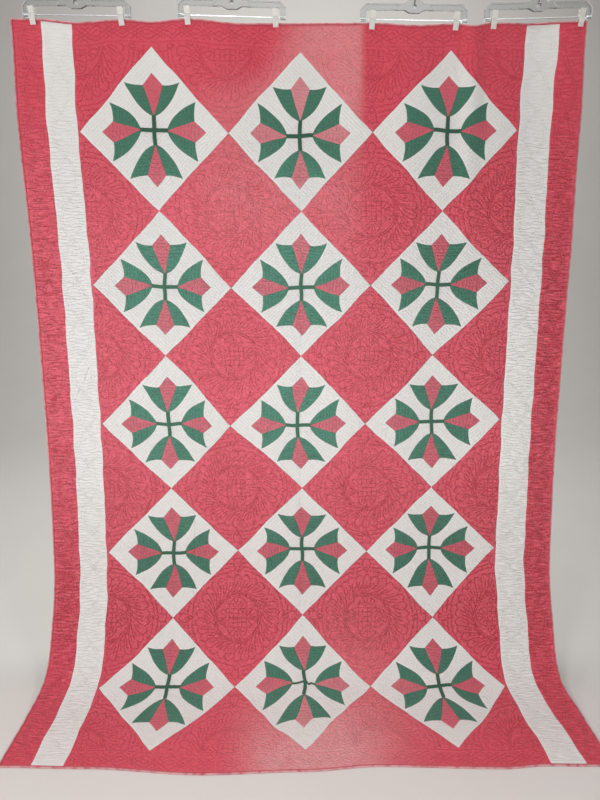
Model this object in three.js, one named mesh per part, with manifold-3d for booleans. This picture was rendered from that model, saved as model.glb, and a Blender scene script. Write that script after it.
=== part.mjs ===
// A patchwork quilt hung by its top edge from four clip hangers, its lower end lying on the floor.
// Millimetres, +Z up. The quilt's face looks along -Y, and the floor is Z = 0.
import * as THREE from "three";
import { mergeVertices } from "three/addons/utils/BufferGeometryUtils.js";
import Module from "manifold-3d";

// Flat sizes of the quilt. Across is counted from its middle line and down from its top edge.
const COLUMN_PITCH = 450; // diagonal of an on-point block, across
const ROW_PITCH = 462; // and down
const COLUMNS = 3;
const ROWS = 5;
const TOP_STRIP = 74;
const BOTTOM_STRIP = 72;
const WHITE_BAR_LEFT = 101;
const WHITE_BAR_RIGHT = 105;
const RED_BAR = 91;

// Heights above the plane of the quilt's back.
const SEAM_THICK = 3.4; // where the layers are sewn flat
const BAR_PUFF = 2; // rise between the seams of a bar or strip
const CENTRE_PUFF = 2; // rise in the middle of a patch

// The binding's strips are folded over the thin edges of the quilt.
const BINDING_WIDTH = 7;
const BINDING_CLOTH = 1;
const BINDING_THICK = 5;
const CLEARANCE = 0.3;
const FLATTENED_WIDTH = 9; // the quilt has its full thickness from here inwards
const CROWN_INSET = 42; // from the top and bottom edges to the crown of their strips
const RED_CROWN_INSET = 50;

// Where the hanging quilt stands, so that its origin is in the middle of its floor space.
const HANGING_PLANE = 310;
const MIDDLE = -2;

// How the quilt falls: its tilt from upright, in degrees, at distances down from its top edge.
const BENDS = [
  { down: 0, tilt: 0 },
  { down: 74, tilt: 0 },
  { down: 1460, tilt: 4 },
  { down: 1691, tilt: 8 },
  { down: 1922, tilt: 30 },
  { down: 2037, tilt: 48 },
  { down: 2153, tilt: 73 },
  { down: 2268, tilt: 88 },
  { down: 2300, tilt: 90 },
  { down: 2456, tilt: 90 },
];

// How it is drawn in or spread sideways on its way down.
const SPREADS = [
  { down: 0, share: 0.981, sideways: -9 },
  { down: 300, share: 0.995, sideways: -8 },
  { down: 700, share: 0.999, sideways: -1 },
  { down: 1200, share: 1.003, sideways: -1 },
  { down: 1700, share: 1.012, sideways: 0 },
  { down: 1920, share: 1.01, sideways: 2 },
  { down: 2140, share: 0.99, sideways: 0 },
  { down: 2260, share: 1.002, sideways: 4 },
  { down: 2456, share: 1.006, sideways: 5 },
];

// Long soft folds of the hanging part: forward is towards the viewer.
const FOLDS = [
  { across: -560, half: 190, forward: 8, from: 120, to: 2150 },
  { across: -215, half: 160, forward: -7, from: 200, to: 2100 },
  { across: 130, half: 170, forward: 7, from: 160, to: 2050 },
  { across: 470, half: 180, forward: -8, from: 260, to: 2150 },
  { across: 760, half: 120, forward: 6, from: 420, to: 2100 },
];

// How far the lower edge reaches forward on the floor, beyond its mean line.
const LOWER_EDGE = [
  { across: -850, reach: -10 },
  { across: -620, reach: -4 },
  { across: -285, reach: 19 },
  { across: 0, reach: 10 },
  { across: 205, reach: -5 },
  { across: 560, reach: 5 },
  { across: 680, reach: -4 },
  { across: 800, reach: -2 },
];
const LOWER_EDGE_FROM = 2153;

// Hangers: across and above give the middle of the rod from the quilt's middle and top edge.
const HANGERS = [
  { across: -662, above: 13.5, tilt: -0.4 },
  { across: -207, above: 12.5, tilt: -1.4 },
  { across: 330, above: 3.5, tilt: -0.5 },
  { across: 697, above: 9.4, tilt: 1.5 },
];

// Clips from left to right: along is from the hanger's middle, lift is how high they hold the edge,
// and sag and bulge shape the edge from each clip to the next one.
const CLIPS = [
  { hanger: 0, side: "left", along: -131, lift: 5, lean: 4, sag: -11, bulge: 10 },
  { hanger: 0, side: "right", along: 129, lift: 3.5, lean: 4, sag: -3, bulge: -9 },
  { hanger: 1, side: "left", along: -131, lift: 6, lean: 2.5, sag: -8, bulge: 11 },
  { hanger: 1, side: "right", along: 128, lift: -5, lean: 2.5, sag: 4, bulge: -12 },
  { hanger: 2, side: "left", along: -123, lift: -3.5, lean: -2, sag: -8, bulge: 10 },
  { hanger: 2, side: "right", along: 125, lift: -5, lean: -2.5, sag: -10, bulge: 13 },
  { hanger: 3, side: "left", along: -130, lift: -2, lean: -2, sag: 0, bulge: -11 },
  { hanger: 3, side: "right", along: 129, lift: 3, lean: -4, sag: 0, bulge: 0 },
];
const CLIP_FLAT = 10; // half the width over which a clip holds the cloth flat
const LIFT_DEPTH = 320; // how far down the edge's waves reach
const BULGE_DEPTH = 950;

// Quilting, from the middle of a patch out to its seam. Share is of the half diagonal, and puff
// gives the rise at the four points of each quarter turn, the first one towards a corner.
const SECTORS = 16;
const WREATH_RINGS = [
  { share: 0.17, puff: [1.6, 1.6, 1.6, 1.6] },
  { share: 0.37, puff: [0.3, 0.3, 0.3, 0.3] },
  { share: 0.51, puff: [3.4, 1.6, 3.4, 1.6] },
  { share: 0.65, puff: [0.9, 0.4, 0.9, 0.4] },
  { share: 1, puff: [0, 0, 0, 0] },
];
const TULIP_RINGS = [
  { share: 0.17, puff: [1, 1, 0.8, 1] },
  { share: 0.37, puff: [2.6, 1.9, 1.2, 1.9] },
  { share: 0.51, puff: [3, 2.6, 1.3, 2.6] },
  { share: 0.65, puff: [1.2, 1.6, 1.6, 1.6] },
  { share: 1, puff: [0, 0, 0, 0] },
];
const BACK_COLUMN_WIDTH = 150;
const BAR_ROW_STEPS = [0.25, 0.5, 0.75, 1]; // rows of facets in each block row of the bars
const BEND_ROW_STEPS = [0.125, 0.25, 0.375, 0.5, 0.625, 0.75, 0.875, 1]; // and where the quilt bends
const FIRST_BEND_ROW = 3;
const LOWER_COLUMN_WIDTH = 112.5;
const SCALLOP_STEPS = [0.25, 0.5, 0.75];

// Clip hanger, from the middle of its rod.
const HANGER_HALF = 158.5;
const BAR_TOP = 42;
const BAR_LOW = 25;
const ARM_WIDTH = 17;
const ARM_LOW = -5;
const ARM_CHAMFER = 17;
const HUB_TOP = 52;
const HUB_LOW = 17.5;
const HUB_FLAT = 14; // half the width of the hub's flats
const HUB_FOOT = 29; // half its width where it joins the bar
const BODY_DEPTH = 9;
const WEB_DEPTH = 2.6;
const RIM_WIDTH = 2.6;
const POCKET_FOOT = 6.5;
const RIB_TOP = 44; // slanted rib beside the hub
const RIB_LOW = 56;
const EYE_HEIGHT = 33.5;
const EYE_RADIUS = 6.5;
const EYE_SIDES = 16;

// Wires of the hanger.
const ROD_RADIUS = 1.5;
const ROD_HALF = 157;
const ROD_HOLE_RADIUS = 2;
const HOOK_WIRE_RADIUS = 1.6;
const HOOK_HOLE_RADIUS = 2.1;
const HOOK_RADIUS = 19;
const HOOK_HEAD_RADIUS = 3.2;
const HOOK_HEAD_HEIGHT = 2.4;
const HOOK_NECK_TOP = 66;
const HOOK_CENTRE = 100;
const HOOK_START = -25; // degrees round the hook, 0 towards the viewer and 90 on top
const HOOK_END = 200;
const HOOK_ARC_STEPS = 10;
const HOOK_SEGMENTS = 18;
const WIRE_SIDES = 8;

// Sprung clip: outer and inner half depths of its plates at heights from the rod's hole.
const CLIP_WIDTH = 16;
const CLIP_HANDLE = { height: 22, outer: 9.4, inner: 8.1 };
const CLIP_BRIDGE = { height: 4, outer: 4.9, inner: 3.6 };
const CLIP_JAW = { height: -14, outer: 6.2, inner: 4.9 };
const CLIP_TIP = { height: -26, outer: 4.1, inner: 2.8 };
const CLIP_HOLE_RADIUS = 2.7;
const CLIP_HOLE_SIDES = 12;

const HALF_ACROSS = COLUMN_PITCH / 2;
const HALF_DOWN = ROW_PITCH / 2;
const FIELD_HALF = COLUMNS * HALF_ACROSS;
const FIELD_TOP = TOP_STRIP;
const FIELD_LOW = TOP_STRIP + ROWS * ROW_PITCH;
const LENGTH = FIELD_LOW + BOTTOM_STRIP;
const LEFT = -(FIELD_HALF + WHITE_BAR_LEFT + RED_BAR);
const RIGHT = FIELD_HALF + WHITE_BAR_RIGHT + RED_BAR;
const EDGE_INSET = BINDING_CLOTH + CLEARANCE;
const TONGUE_INSET = BINDING_WIDTH + CLEARANCE;
const TONGUE_BACK = BINDING_CLOTH + CLEARANCE;
const TONGUE_FRONT = BINDING_THICK - BINDING_CLOTH - CLEARANCE;
const MITRE_STEP = 0.75 * CLEARANCE; // a little over the clearance, measured across a mitre's slit
const SAME = 1e-6;
const WELD = 1e-4; // points of a cut solid this close are one
const POINTS_PER_MM = 1000; // points of a skin that round alike are one
const COLUMN_GAP = 1; // least distance between two lines of the top strip
const HOLE_OVERRUN = 1; // how far a drill runs past the face it leaves by

// Plain colours and finishes of the pieces.
const QUILT_FINISH = { color: 0xbf4c5c, roughness: 0.92, metalness: 0 };
const BINDING_FINISH = { color: 0xc4505f, roughness: 0.92, metalness: 0 };
const CLEAR_FINISH = { color: 0xdfe3e4, roughness: 0.12, metalness: 0 };
const WIRE_FINISH = { color: 0xb9bcc0, roughness: 0.3, metalness: 1 };
const CLIP_FINISH = { color: 0xe4e3dd, roughness: 0.4, metalness: 0.6 };

const radians = THREE.MathUtils.degToRad;
const wasm = await Module();
wasm.setup();

// 0 to 1 with level ends.
function ease(share) {
  return THREE.MathUtils.smoothstep(share, 0, 1);
}

// A table's column at a place between its rows, level at each row.
function read(table, key, column, place) {
  const next = table.findIndex((row) => row[key] > place);
  if (next === 0) return table[0][column];
  if (next < 0) return table.at(-1)[column];
  const low = table[next - 1];
  const high = table[next];
  const share = ease((place - low[key]) / (high[key] - low[key]));
  return THREE.MathUtils.lerp(low[column], high[column], share);
}

// The side view of the quilt's back as a chain of arcs, from its top edge.
function fallArcs() {
  let back = 0;
  let height = 0;
  return BENDS.slice(1).map((end, index) => {
    const start = BENDS[index];
    const tilt = radians(start.tilt);
    const bend = (radians(end.tilt) - tilt) / (end.down - start.down);
    const arc = { down: start.down, tilt, bend, back, height };
    const foot = alongArc(arc, end.down);
    back = foot.back;
    height = foot.height;
    return arc;
  });
}

function alongArc(arc, down) {
  const run = down - arc.down;
  const tilt = arc.tilt + arc.bend * run;
  if (arc.bend === 0) {
    return { tilt, back: arc.back - Math.sin(tilt) * run, height: arc.height - Math.cos(tilt) * run };
  }
  const back = arc.back + (Math.cos(tilt) - Math.cos(arc.tilt)) / arc.bend;
  const height = arc.height - (Math.sin(tilt) - Math.sin(arc.tilt)) / arc.bend;
  return { tilt, back, height };
}

const ARCS = fallArcs();
const TOP_HEIGHT = -alongArc(ARCS.at(-1), LENGTH).height;

function fall(down) {
  return alongArc(ARCS.findLast((arc) => arc.down <= Math.max(down, 0)), down);
}

// Places of the clips on the flat quilt.
function clipPlace(clip) {
  const hanger = HANGERS[clip.hanger];
  const sideways = hanger.across + clip.along * Math.cos(radians(hanger.tilt));
  return (sideways - SPREADS[0].sideways) / SPREADS[0].share;
}

const CLIP_PLACES = CLIPS.map(clipPlace);

// The wave of the top edge: its lift and its bulge towards the viewer, flat at each clip.
function topEdge(across) {
  const after = CLIP_PLACES.findIndex((place) => place + CLIP_FLAT >= across);
  if (after < 0) return { lift: CLIPS.at(-1).lift, bulge: 0 };
  const end = CLIP_PLACES[after] - CLIP_FLAT;
  if (after === 0 || across >= end) return { lift: CLIPS[after].lift, bulge: 0 };
  const start = CLIP_PLACES[after - 1] + CLIP_FLAT;
  const share = (across - start) / (end - start);
  const swell = Math.sin(Math.PI * share) ** 2;
  const clip = CLIPS[after - 1];
  const lift = THREE.MathUtils.lerp(clip.lift, CLIPS[after].lift, ease(share)) + clip.sag * swell;
  return { lift, bulge: clip.bulge * swell };
}

function foldForward(fold, across, down) {
  const off = Math.min(Math.abs(across - fold.across) / fold.half, 1);
  const along = THREE.MathUtils.clamp((down - fold.from) / (fold.to - fold.from), 0, 1);
  return fold.forward * Math.cos((off * Math.PI) / 2) ** 2 * Math.sin(Math.PI * along) ** 2;
}

// The draped place of a point of the flat quilt, at a height above its back.
function drape(across, down, height) {
  const { tilt, back, height: level } = fall(down);
  const edge = topEdge(across);
  const folds = FOLDS.reduce((sum, fold) => sum + foldForward(fold, across, down), 0);
  const out = height + folds + edge.bulge * (1 - ease(down / BULGE_DEPTH));
  const settle = ease((down - LOWER_EDGE_FROM) / (LENGTH - LOWER_EDGE_FROM));
  const reach = settle * read(LOWER_EDGE, "across", "reach", across);
  const spread = across * read(SPREADS, "down", "share", down);
  return new THREE.Vector3(
    MIDDLE + spread + read(SPREADS, "down", "sideways", down),
    HANGING_PLANE + back - Math.cos(tilt) * out - reach,
    TOP_HEIGHT + level + Math.sin(tilt) * out + edge.lift * (1 - ease(down / LIFT_DEPTH)),
  );
}

// A closed surface made of flat points that are draped at the end.
class Skin {
  places = [];
  lookup = new Map();
  triangles = [];

  point(across, down, height) {
    const key = [across, down, height].map((size) => Math.round(size * POINTS_PER_MM)).join(" ");
    if (!this.lookup.has(key)) {
      this.lookup.set(key, this.places.length);
      this.places.push({ across, down, height });
    }
    return this.lookup.get(key);
  }

  // Adds a triangle turned so that it shows from the front (facing 1) or from the back (-1).
  show(facing, a, b, c) {
    const [p, q, r] = [a, b, c].map((index) => this.places[index]);
    const turn = (q.across - p.across) * (r.down - p.down) - (r.across - p.across) * (q.down - p.down);
    this.triangles.push(...(turn * facing < 0 ? [a, b, c] : [a, c, b]));
  }

  // Fills the band between two lines of points that run the same way.
  zip(facing, key, first, second) {
    let i = 0;
    let j = 0;
    while (i + 1 < first.length || j + 1 < second.length) {
      const takeFirst =
        j + 1 === second.length ||
        (i + 1 < first.length && this.places[first[i + 1]][key] <= this.places[second[j + 1]][key]);
      if (takeFirst) {
        this.show(facing, first[i], second[j], first[i + 1]);
        i += 1;
      } else {
        this.show(facing, first[i], second[j], second[j + 1]);
        j += 1;
      }
    }
  }

  // Fills the bands between neighbouring lines of a list.
  zipAll(facing, key, lines) {
    lines.slice(1).forEach((line, index) => this.zip(facing, key, lines[index], line));
  }

  geometry() {
    const points = this.places.map((p) => drape(p.across, p.down, p.height));
    return new THREE.BufferGeometry().setFromPoints(points).setIndex(this.triangles);
  }
}

// How far a place is from the nearest edge of the quilt.
function inset(across, down) {
  return Math.min(across - LEFT, RIGHT - across, down, LENGTH - down);
}

function onFieldEdge(across, down) {
  const sides = Math.abs(Math.abs(across) - FIELD_HALF) < SAME;
  return sides || Math.abs(down - FIELD_TOP) < SAME || Math.abs(down - FIELD_LOW) < SAME;
}

// A point of the face on a line across and a line down, each of which may be a crown.
function facePoint(skin, column, row) {
  if (inset(column.at, row.at) < FLATTENED_WIDTH - SAME) return skin.point(column.at, row.at, TONGUE_FRONT);
  const puff = column.crown && row.crown ? BAR_PUFF : 0;
  return skin.point(column.at, row.at, SEAM_THICK + puff);
}

function backPoint(skin, column, row) {
  const flattened = inset(column.at, row.at) < FLATTENED_WIDTH - SAME;
  return skin.point(column.at, row.at, flattened ? TONGUE_BACK : 0);
}

function seam(at) {
  return { at, crown: false };
}

function crown(at) {
  return { at, crown: true };
}

const EDGE_INSETS = [EDGE_INSET, TONGUE_INSET, FLATTENED_WIDTH];

// Lines down the side bars, from the outer edge to the white bar's crown.
function barColumns(edge, whiteBar, side) {
  const white = FIELD_HALF + whiteBar;
  return [
    ...EDGE_INSETS.map((width) => seam(edge - side * width)),
    crown(edge - side * RED_CROWN_INSET),
    seam(side * white),
    crown(side * (FIELD_HALF + whiteBar / 2)),
  ];
}

const LEFT_COLUMNS = barColumns(LEFT, WHITE_BAR_LEFT, -1);
const RIGHT_COLUMNS = barColumns(RIGHT, WHITE_BAR_RIGHT, 1).reverse();

// Lines across: the strips at the top and bottom, and the rows of facets of the bars between them.
const TOP_ROWS = [...EDGE_INSETS.map(seam), crown(CROWN_INSET)];
const LOW_ROWS = TOP_ROWS.map((row) => ({ ...row, at: LENGTH - row.at })).reverse();
const BAR_ROWS = [crown(FIELD_TOP)];
for (let row = 0; row < ROWS; row += 1) {
  const steps = row < FIRST_BEND_ROW ? BAR_ROW_STEPS : BEND_ROW_STEPS;
  BAR_ROWS.push(...steps.map((step) => crown(FIELD_TOP + (row + step) * ROW_PITCH)));
}
const ALL_ROWS = [...TOP_ROWS, ...BAR_ROWS, ...LOW_ROWS];

// Lines down the top strip: beside each clip, and between the clips.
function topColumns() {
  const marks = CLIP_PLACES.flatMap((place, index) => {
    const end = place + CLIP_FLAT;
    const next = index + 1 < CLIP_PLACES.length ? CLIP_PLACES[index + 1] - CLIP_FLAT : end;
    return [place - CLIP_FLAT, end, ...SCALLOP_STEPS.map((step) => THREE.MathUtils.lerp(end, next, step))];
  });
  const inside = (at) => at - LEFT > RED_CROWN_INSET / 2 && RIGHT - at > FLATTENED_WIDTH + COLUMN_GAP;
  const columns = [...LEFT_COLUMNS, ...RIGHT_COLUMNS, seam(-FIELD_HALF), seam(FIELD_HALF)];
  const clear = (at) => columns.every((column) => Math.abs(column.at - at) > COLUMN_GAP);
  columns.push(...[...new Set(marks)].filter((at) => inside(at) && clear(at)).map(crown));
  return columns.sort((a, b) => a.at - b.at);
}

function lowerColumns() {
  const columns = [...LEFT_COLUMNS, seam(-FIELD_HALF)];
  for (let at = LOWER_COLUMN_WIDTH - FIELD_HALF; at < FIELD_HALF - SAME; at += LOWER_COLUMN_WIDTH) {
    columns.push(crown(at));
  }
  return [...columns, seam(FIELD_HALF), ...RIGHT_COLUMNS];
}

const TOP_COLUMNS = topColumns();
const LOWER_COLUMNS = lowerColumns();

// A patch of the field, or the part of it inside the field, as rings of raised quilting.
function layPatch(skin, column, row, rings) {
  const middle = { across: column * HALF_ACROSS, down: FIELD_TOP + row * HALF_DOWN };
  const rise = (across, down, puff) => SEAM_THICK + (onFieldEdge(across, down) ? 0 : puff);
  const hub = skin.point(middle.across, middle.down, rise(middle.across, middle.down, CENTRE_PUFF));
  const ringPoint = (ring, sector) => {
    const angle = ((sector % SECTORS) / SECTORS) * 2 * Math.PI;
    const square = 1 / (Math.abs(Math.cos(angle)) + Math.abs(Math.sin(angle)));
    const reach = ring.share === 1 ? square : ring.share;
    const across = middle.across + HALF_ACROSS * reach * Math.cos(angle);
    const down = middle.down + HALF_DOWN * reach * Math.sin(angle);
    return skin.point(across, down, rise(across, down, ring.puff[sector % ring.puff.length]));
  };
  for (let sector = 0; sector < SECTORS; sector += 1) {
    const angle = ((sector + 0.5) / SECTORS) * 2 * Math.PI;
    const inField =
      Math.abs(middle.across + Math.cos(angle)) < FIELD_HALF &&
      middle.down + Math.sin(angle) > FIELD_TOP &&
      middle.down + Math.sin(angle) < FIELD_LOW;
    if (!inField) continue;
    const spokes = [sector, sector + 1].map((spoke) => rings.map((ring) => ringPoint(ring, spoke)));
    skin.show(1, hub, spokes[0][0], spokes[1][0]);
    rings.slice(1).forEach((_, ring) => {
      skin.show(1, spokes[0][ring], spokes[0][ring + 1], spokes[1][ring + 1]);
      skin.show(1, spokes[0][ring], spokes[1][ring + 1], spokes[1][ring]);
    });
  }
}

// The tulip blocks and, between them, the wreath squares with the half and quarter squares at the sides.
function layField(skin) {
  for (let row = 0; row <= 2 * ROWS; row += 1) {
    for (let column = -COLUMNS; column <= COLUMNS; column += 1) {
      const isBlock = row % 2 === 1;
      if (Math.abs(column % 2) === (isBlock ? 0 : 1)) {
        layPatch(skin, column, row, isBlock ? TULIP_RINGS : WREATH_RINGS);
      }
    }
  }
}

// The points of the field on one of its edges, in order.
function fieldEdge(skin, key, value, order) {
  const found = skin.places.map((place, index) => ({ place, index }));
  return found
    .filter(({ place }) => Math.abs(place[key] - value) < SAME)
    .sort((a, b) => a.place[order] - b.place[order])
    .map(({ index }) => index);
}

function layFace(skin) {
  layField(skin);
  const fieldTop = fieldEdge(skin, "down", FIELD_TOP, "across");
  const fieldLow = fieldEdge(skin, "down", FIELD_LOW, "across");
  const fieldLeft = fieldEdge(skin, "across", -FIELD_HALF, "down");
  const fieldRight = fieldEdge(skin, "across", FIELD_HALF, "down");
  const line = (columns, row) => columns.map((column) => facePoint(skin, column, row));
  const column = (place) => BAR_ROWS.map((row) => facePoint(skin, place, row));
  const across = (field, row) => [...line(LEFT_COLUMNS, row), ...field, ...line(RIGHT_COLUMNS, row)];
  skin.zipAll(1, "down", [...LEFT_COLUMNS.map(column), fieldLeft]);
  skin.zipAll(1, "down", [fieldRight, ...RIGHT_COLUMNS.map(column)]);
  const topLines = TOP_ROWS.map((row) => line(TOP_COLUMNS, row));
  skin.zipAll(1, "across", [...topLines, across(fieldTop, BAR_ROWS[0])]);
  const lowLines = LOW_ROWS.map((row) => line(LOWER_COLUMNS, row));
  skin.zipAll(1, "across", [across(fieldLow, BAR_ROWS.at(-1)), ...lowLines]);
}

function backColumns() {
  const rims = LEFT_COLUMNS.slice(0, EDGE_INSETS.length);
  const count = Math.round((RIGHT - LEFT) / BACK_COLUMN_WIDTH);
  const first = rims.at(-1).at;
  const last = RIGHT - FLATTENED_WIDTH;
  const place = (step) => seam(THREE.MathUtils.lerp(first, last, step / count));
  const inner = Array.from({ length: count - 1 }, (_, index) => place(index + 1));
  return [...rims, ...inner, ...RIGHT_COLUMNS.slice(-EDGE_INSETS.length)];
}

function layBack(skin) {
  const line = (columns) => (row) => columns.map((column) => backPoint(skin, column, row));
  const topLines = TOP_ROWS.map(line(TOP_COLUMNS));
  const lowLines = LOW_ROWS.map(line(LOWER_COLUMNS));
  skin.zipAll(-1, "across", [...topLines, ...BAR_ROWS.map(line(backColumns())), ...lowLines]);
}

// Stations round the edge, from the top left corner down and on round: each gives the flat place
// at a width in from the edge there.
function edgeStations(rows, lowerColumnList, topColumnList) {
  const left = rows.map((row) => (width) => [LEFT + width, row.at]);
  const low = lowerColumnList.map((column) => (width) => [column.at, LENGTH - width]);
  const right = rows.map((row) => (width) => [RIGHT - width, row.at]).reverse();
  const top = topColumnList.map((column) => (width) => [column.at, width]).reverse();
  return { left, low, right, top };
}

// Closes the quilt's thin edge between its face and its back.
function layEdge(skin) {
  const { left, low, right, top } = edgeStations(ALL_ROWS, LOWER_COLUMNS, TOP_COLUMNS);
  const stations = [left, low, right, top].flatMap((side) => side.slice(0, -1));
  const front = stations.map((place) => skin.point(...place(EDGE_INSET), TONGUE_FRONT));
  const back = stations.map((place) => skin.point(...place(EDGE_INSET), TONGUE_BACK));
  stations.forEach((_, index) => {
    const next = (index + 1) % stations.length;
    skin.triangles.push(front[index], back[index], front[next]);
    skin.triangles.push(front[next], back[index], back[next]);
  });
}

function quiltGeometry() {
  const skin = new Skin();
  layFace(skin);
  layBack(skin);
  layEdge(skin);
  return skin.geometry();
}

// The binding's section, as widths in from its outer edge and heights above the quilt's back.
const BINDING_SECTION = [
  [BINDING_WIDTH, 0],
  [0, 0],
  [0, BINDING_THICK],
  [BINDING_WIDTH, BINDING_THICK],
  [BINDING_WIDTH, BINDING_THICK - BINDING_CLOTH],
  [BINDING_CLOTH, BINDING_THICK - BINDING_CLOTH],
  [BINDING_CLOTH, BINDING_CLOTH],
  [BINDING_WIDTH, BINDING_CLOTH],
];
// The section as triangles, for the ends of a strip.
const BINDING_END = [
  [0, 1, 6],
  [0, 6, 7],
  [1, 2, 5],
  [1, 5, 6],
  [2, 3, 4],
  [2, 4, 5],
];

// One strip of the binding, folded over the stations along its side of the quilt.
function bindingStrip(stations) {
  const skin = new Skin();
  const rings = stations.map((place) =>
    BINDING_SECTION.map(([width, height]) => skin.point(...place(width), height)),
  );
  rings.slice(1).forEach((next, index) => {
    const ring = rings[index];
    ring.forEach((point, side) => {
      const beside = (side + 1) % ring.length;
      skin.triangles.push(point, next[side], ring[beside]);
      skin.triangles.push(ring[beside], next[side], next[beside]);
    });
  });
  for (const [a, b, c] of BINDING_END) {
    skin.triangles.push(rings[0][a], rings[0][b], rings[0][c]);
    skin.triangles.push(rings.at(-1)[c], rings.at(-1)[b], rings.at(-1)[a]);
  }
  return skin.geometry();
}

// The four strips, mitred at the corners with a slit between them.
function bindingStrips() {
  const inner = (list) => list.slice(EDGE_INSETS.length - 1, 1 - EDGE_INSETS.length);
  const sides = edgeStations(inner(ALL_ROWS), inner(LOWER_COLUMNS), inner(TOP_COLUMNS));
  const corner = (across, down, stepAcross, stepDown) => (width) => [
    across + (across < 0 ? width : -width) + stepAcross * MITRE_STEP,
    down + (down === 0 ? width : -width) + stepDown * MITRE_STEP,
  ];
  return {
    left: bindingStrip([corner(LEFT, 0, 0, 1), ...sides.left, corner(LEFT, LENGTH, 0, -1)]),
    low: bindingStrip([corner(LEFT, LENGTH, 1, 0), ...sides.low, corner(RIGHT, LENGTH, -1, 0)]),
    right: bindingStrip([corner(RIGHT, LENGTH, 0, -1), ...sides.right, corner(RIGHT, 0, 0, 1)]),
    top: bindingStrip([corner(RIGHT, 0, -1, 0), ...sides.top, corner(LEFT, 0, 1, 0)]),
  };
}

// Boolean cuts and joins.
function solidOf(geometry) {
  const bare = geometry.clone();
  bare.deleteAttribute("normal");
  bare.deleteAttribute("uv");
  const merged = mergeVertices(bare, WELD);
  const vertProperties = merged.attributes.position.array;
  const triVerts = new Uint32Array(merged.index.array);
  return new wasm.Manifold(new wasm.Mesh({ numProp: 3, vertProperties, triVerts }));
}

function geometryOf(solid) {
  const { vertProperties, triVerts } = solid.getMesh();
  const geometry = new THREE.BufferGeometry();
  geometry.setAttribute("position", new THREE.BufferAttribute(vertProperties, 3));
  geometry.setIndex(new THREE.BufferAttribute(triVerts, 1));
  return geometry;
}

// Turns a shape drawn face on, X across and Y up, and extruded forward, into the object's frame.
const FACE_ON = new THREE.Matrix4().makeBasis(
  new THREE.Vector3(1, 0, 0),
  new THREE.Vector3(0, 0, 1),
  new THREE.Vector3(0, -1, 0),
);
// Turns a shape drawn from the side, X back and Y up, and extruded sideways, into the object's frame.
const SIDE_ON = new THREE.Matrix4().makeBasis(
  new THREE.Vector3(0, 1, 0),
  new THREE.Vector3(0, 0, 1),
  new THREE.Vector3(1, 0, 0),
);

function outline(points) {
  return new THREE.Shape(points.map(([x, y]) => new THREE.Vector2(x, y)));
}

function mirrored(points) {
  return [...points, ...points.map(([x, y]) => [-x, y]).reverse()];
}

function plate(points, depth, start, turn) {
  const geometry = new THREE.ExtrudeGeometry(outline(points), { depth, bevelEnabled: false });
  return geometry.translate(0, 0, start).applyMatrix4(turn);
}

// A round bar from one height to another, upright or along X.
function bar(radius, sides, from, to, alongX) {
  const geometry = new THREE.CylinderGeometry(radius, radius, to - from, sides);
  geometry.translate(0, (from + to) / 2, 0);
  return alongX ? geometry.rotateZ(-Math.PI / 2) : geometry.rotateX(Math.PI / 2);
}

// The clear body: bar, arms and hub, with pockets that leave a web between raised rims.
function bodyGeometry() {
  const armInside = HANGER_HALF - ARM_WIDTH;
  const half = [
    [HUB_FLAT, HUB_LOW],
    [HUB_FOOT, BAR_LOW],
    [armInside, BAR_LOW],
    [armInside, ARM_LOW],
    [HANGER_HALF, ARM_LOW],
    [HANGER_HALF, BAR_TOP - ARM_CHAMFER],
    [HANGER_HALF - ARM_CHAMFER, BAR_TOP],
    [HUB_FOOT, BAR_TOP],
    [HUB_FLAT, HUB_TOP],
  ];
  const chamferRun = RIM_WIDTH * Math.tan(Math.PI / 8);
  const pocket = [
    [armInside + RIM_WIDTH, POCKET_FOOT],
    [HANGER_HALF - RIM_WIDTH, POCKET_FOOT],
    [HANGER_HALF - RIM_WIDTH, BAR_TOP - ARM_CHAMFER - chamferRun],
    [HANGER_HALF - ARM_CHAMFER - chamferRun, BAR_TOP - RIM_WIDTH],
    [RIB_TOP, BAR_TOP - RIM_WIDTH],
    [RIB_LOW, BAR_LOW + RIM_WIDTH],
    [armInside + RIM_WIDTH, BAR_LOW + RIM_WIDTH],
  ];
  const otherPocket = pocket.map(([x, y]) => [-x, y]).reverse();
  let body = solidOf(plate(mirrored(half), BODY_DEPTH, -BODY_DEPTH / 2, FACE_ON));
  for (const points of [pocket, otherPocket]) {
    for (const start of [WEB_DEPTH / 2, -WEB_DEPTH / 2 - BODY_DEPTH]) {
      body = body.subtract(solidOf(plate(points, BODY_DEPTH, start, FACE_ON)));
    }
  }
  const eye = bar(EYE_RADIUS, EYE_SIDES, -BODY_DEPTH, BODY_DEPTH, false);
  eye.rotateX(Math.PI / 2).translate(0, 0, EYE_HEIGHT);
  const shankHole = bar(HOOK_HOLE_RADIUS, WIRE_SIDES, EYE_HEIGHT, HUB_TOP + HOLE_OVERRUN, false);
  const drillHalf = HANGER_HALF + HOLE_OVERRUN;
  const rodHole = bar(ROD_HOLE_RADIUS, WIRE_SIDES, -drillHalf, drillHalf, true);
  for (const hole of [eye, shankHole, rodHole]) {
    body = body.subtract(solidOf(hole));
  }
  return geometryOf(body);
}

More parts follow.
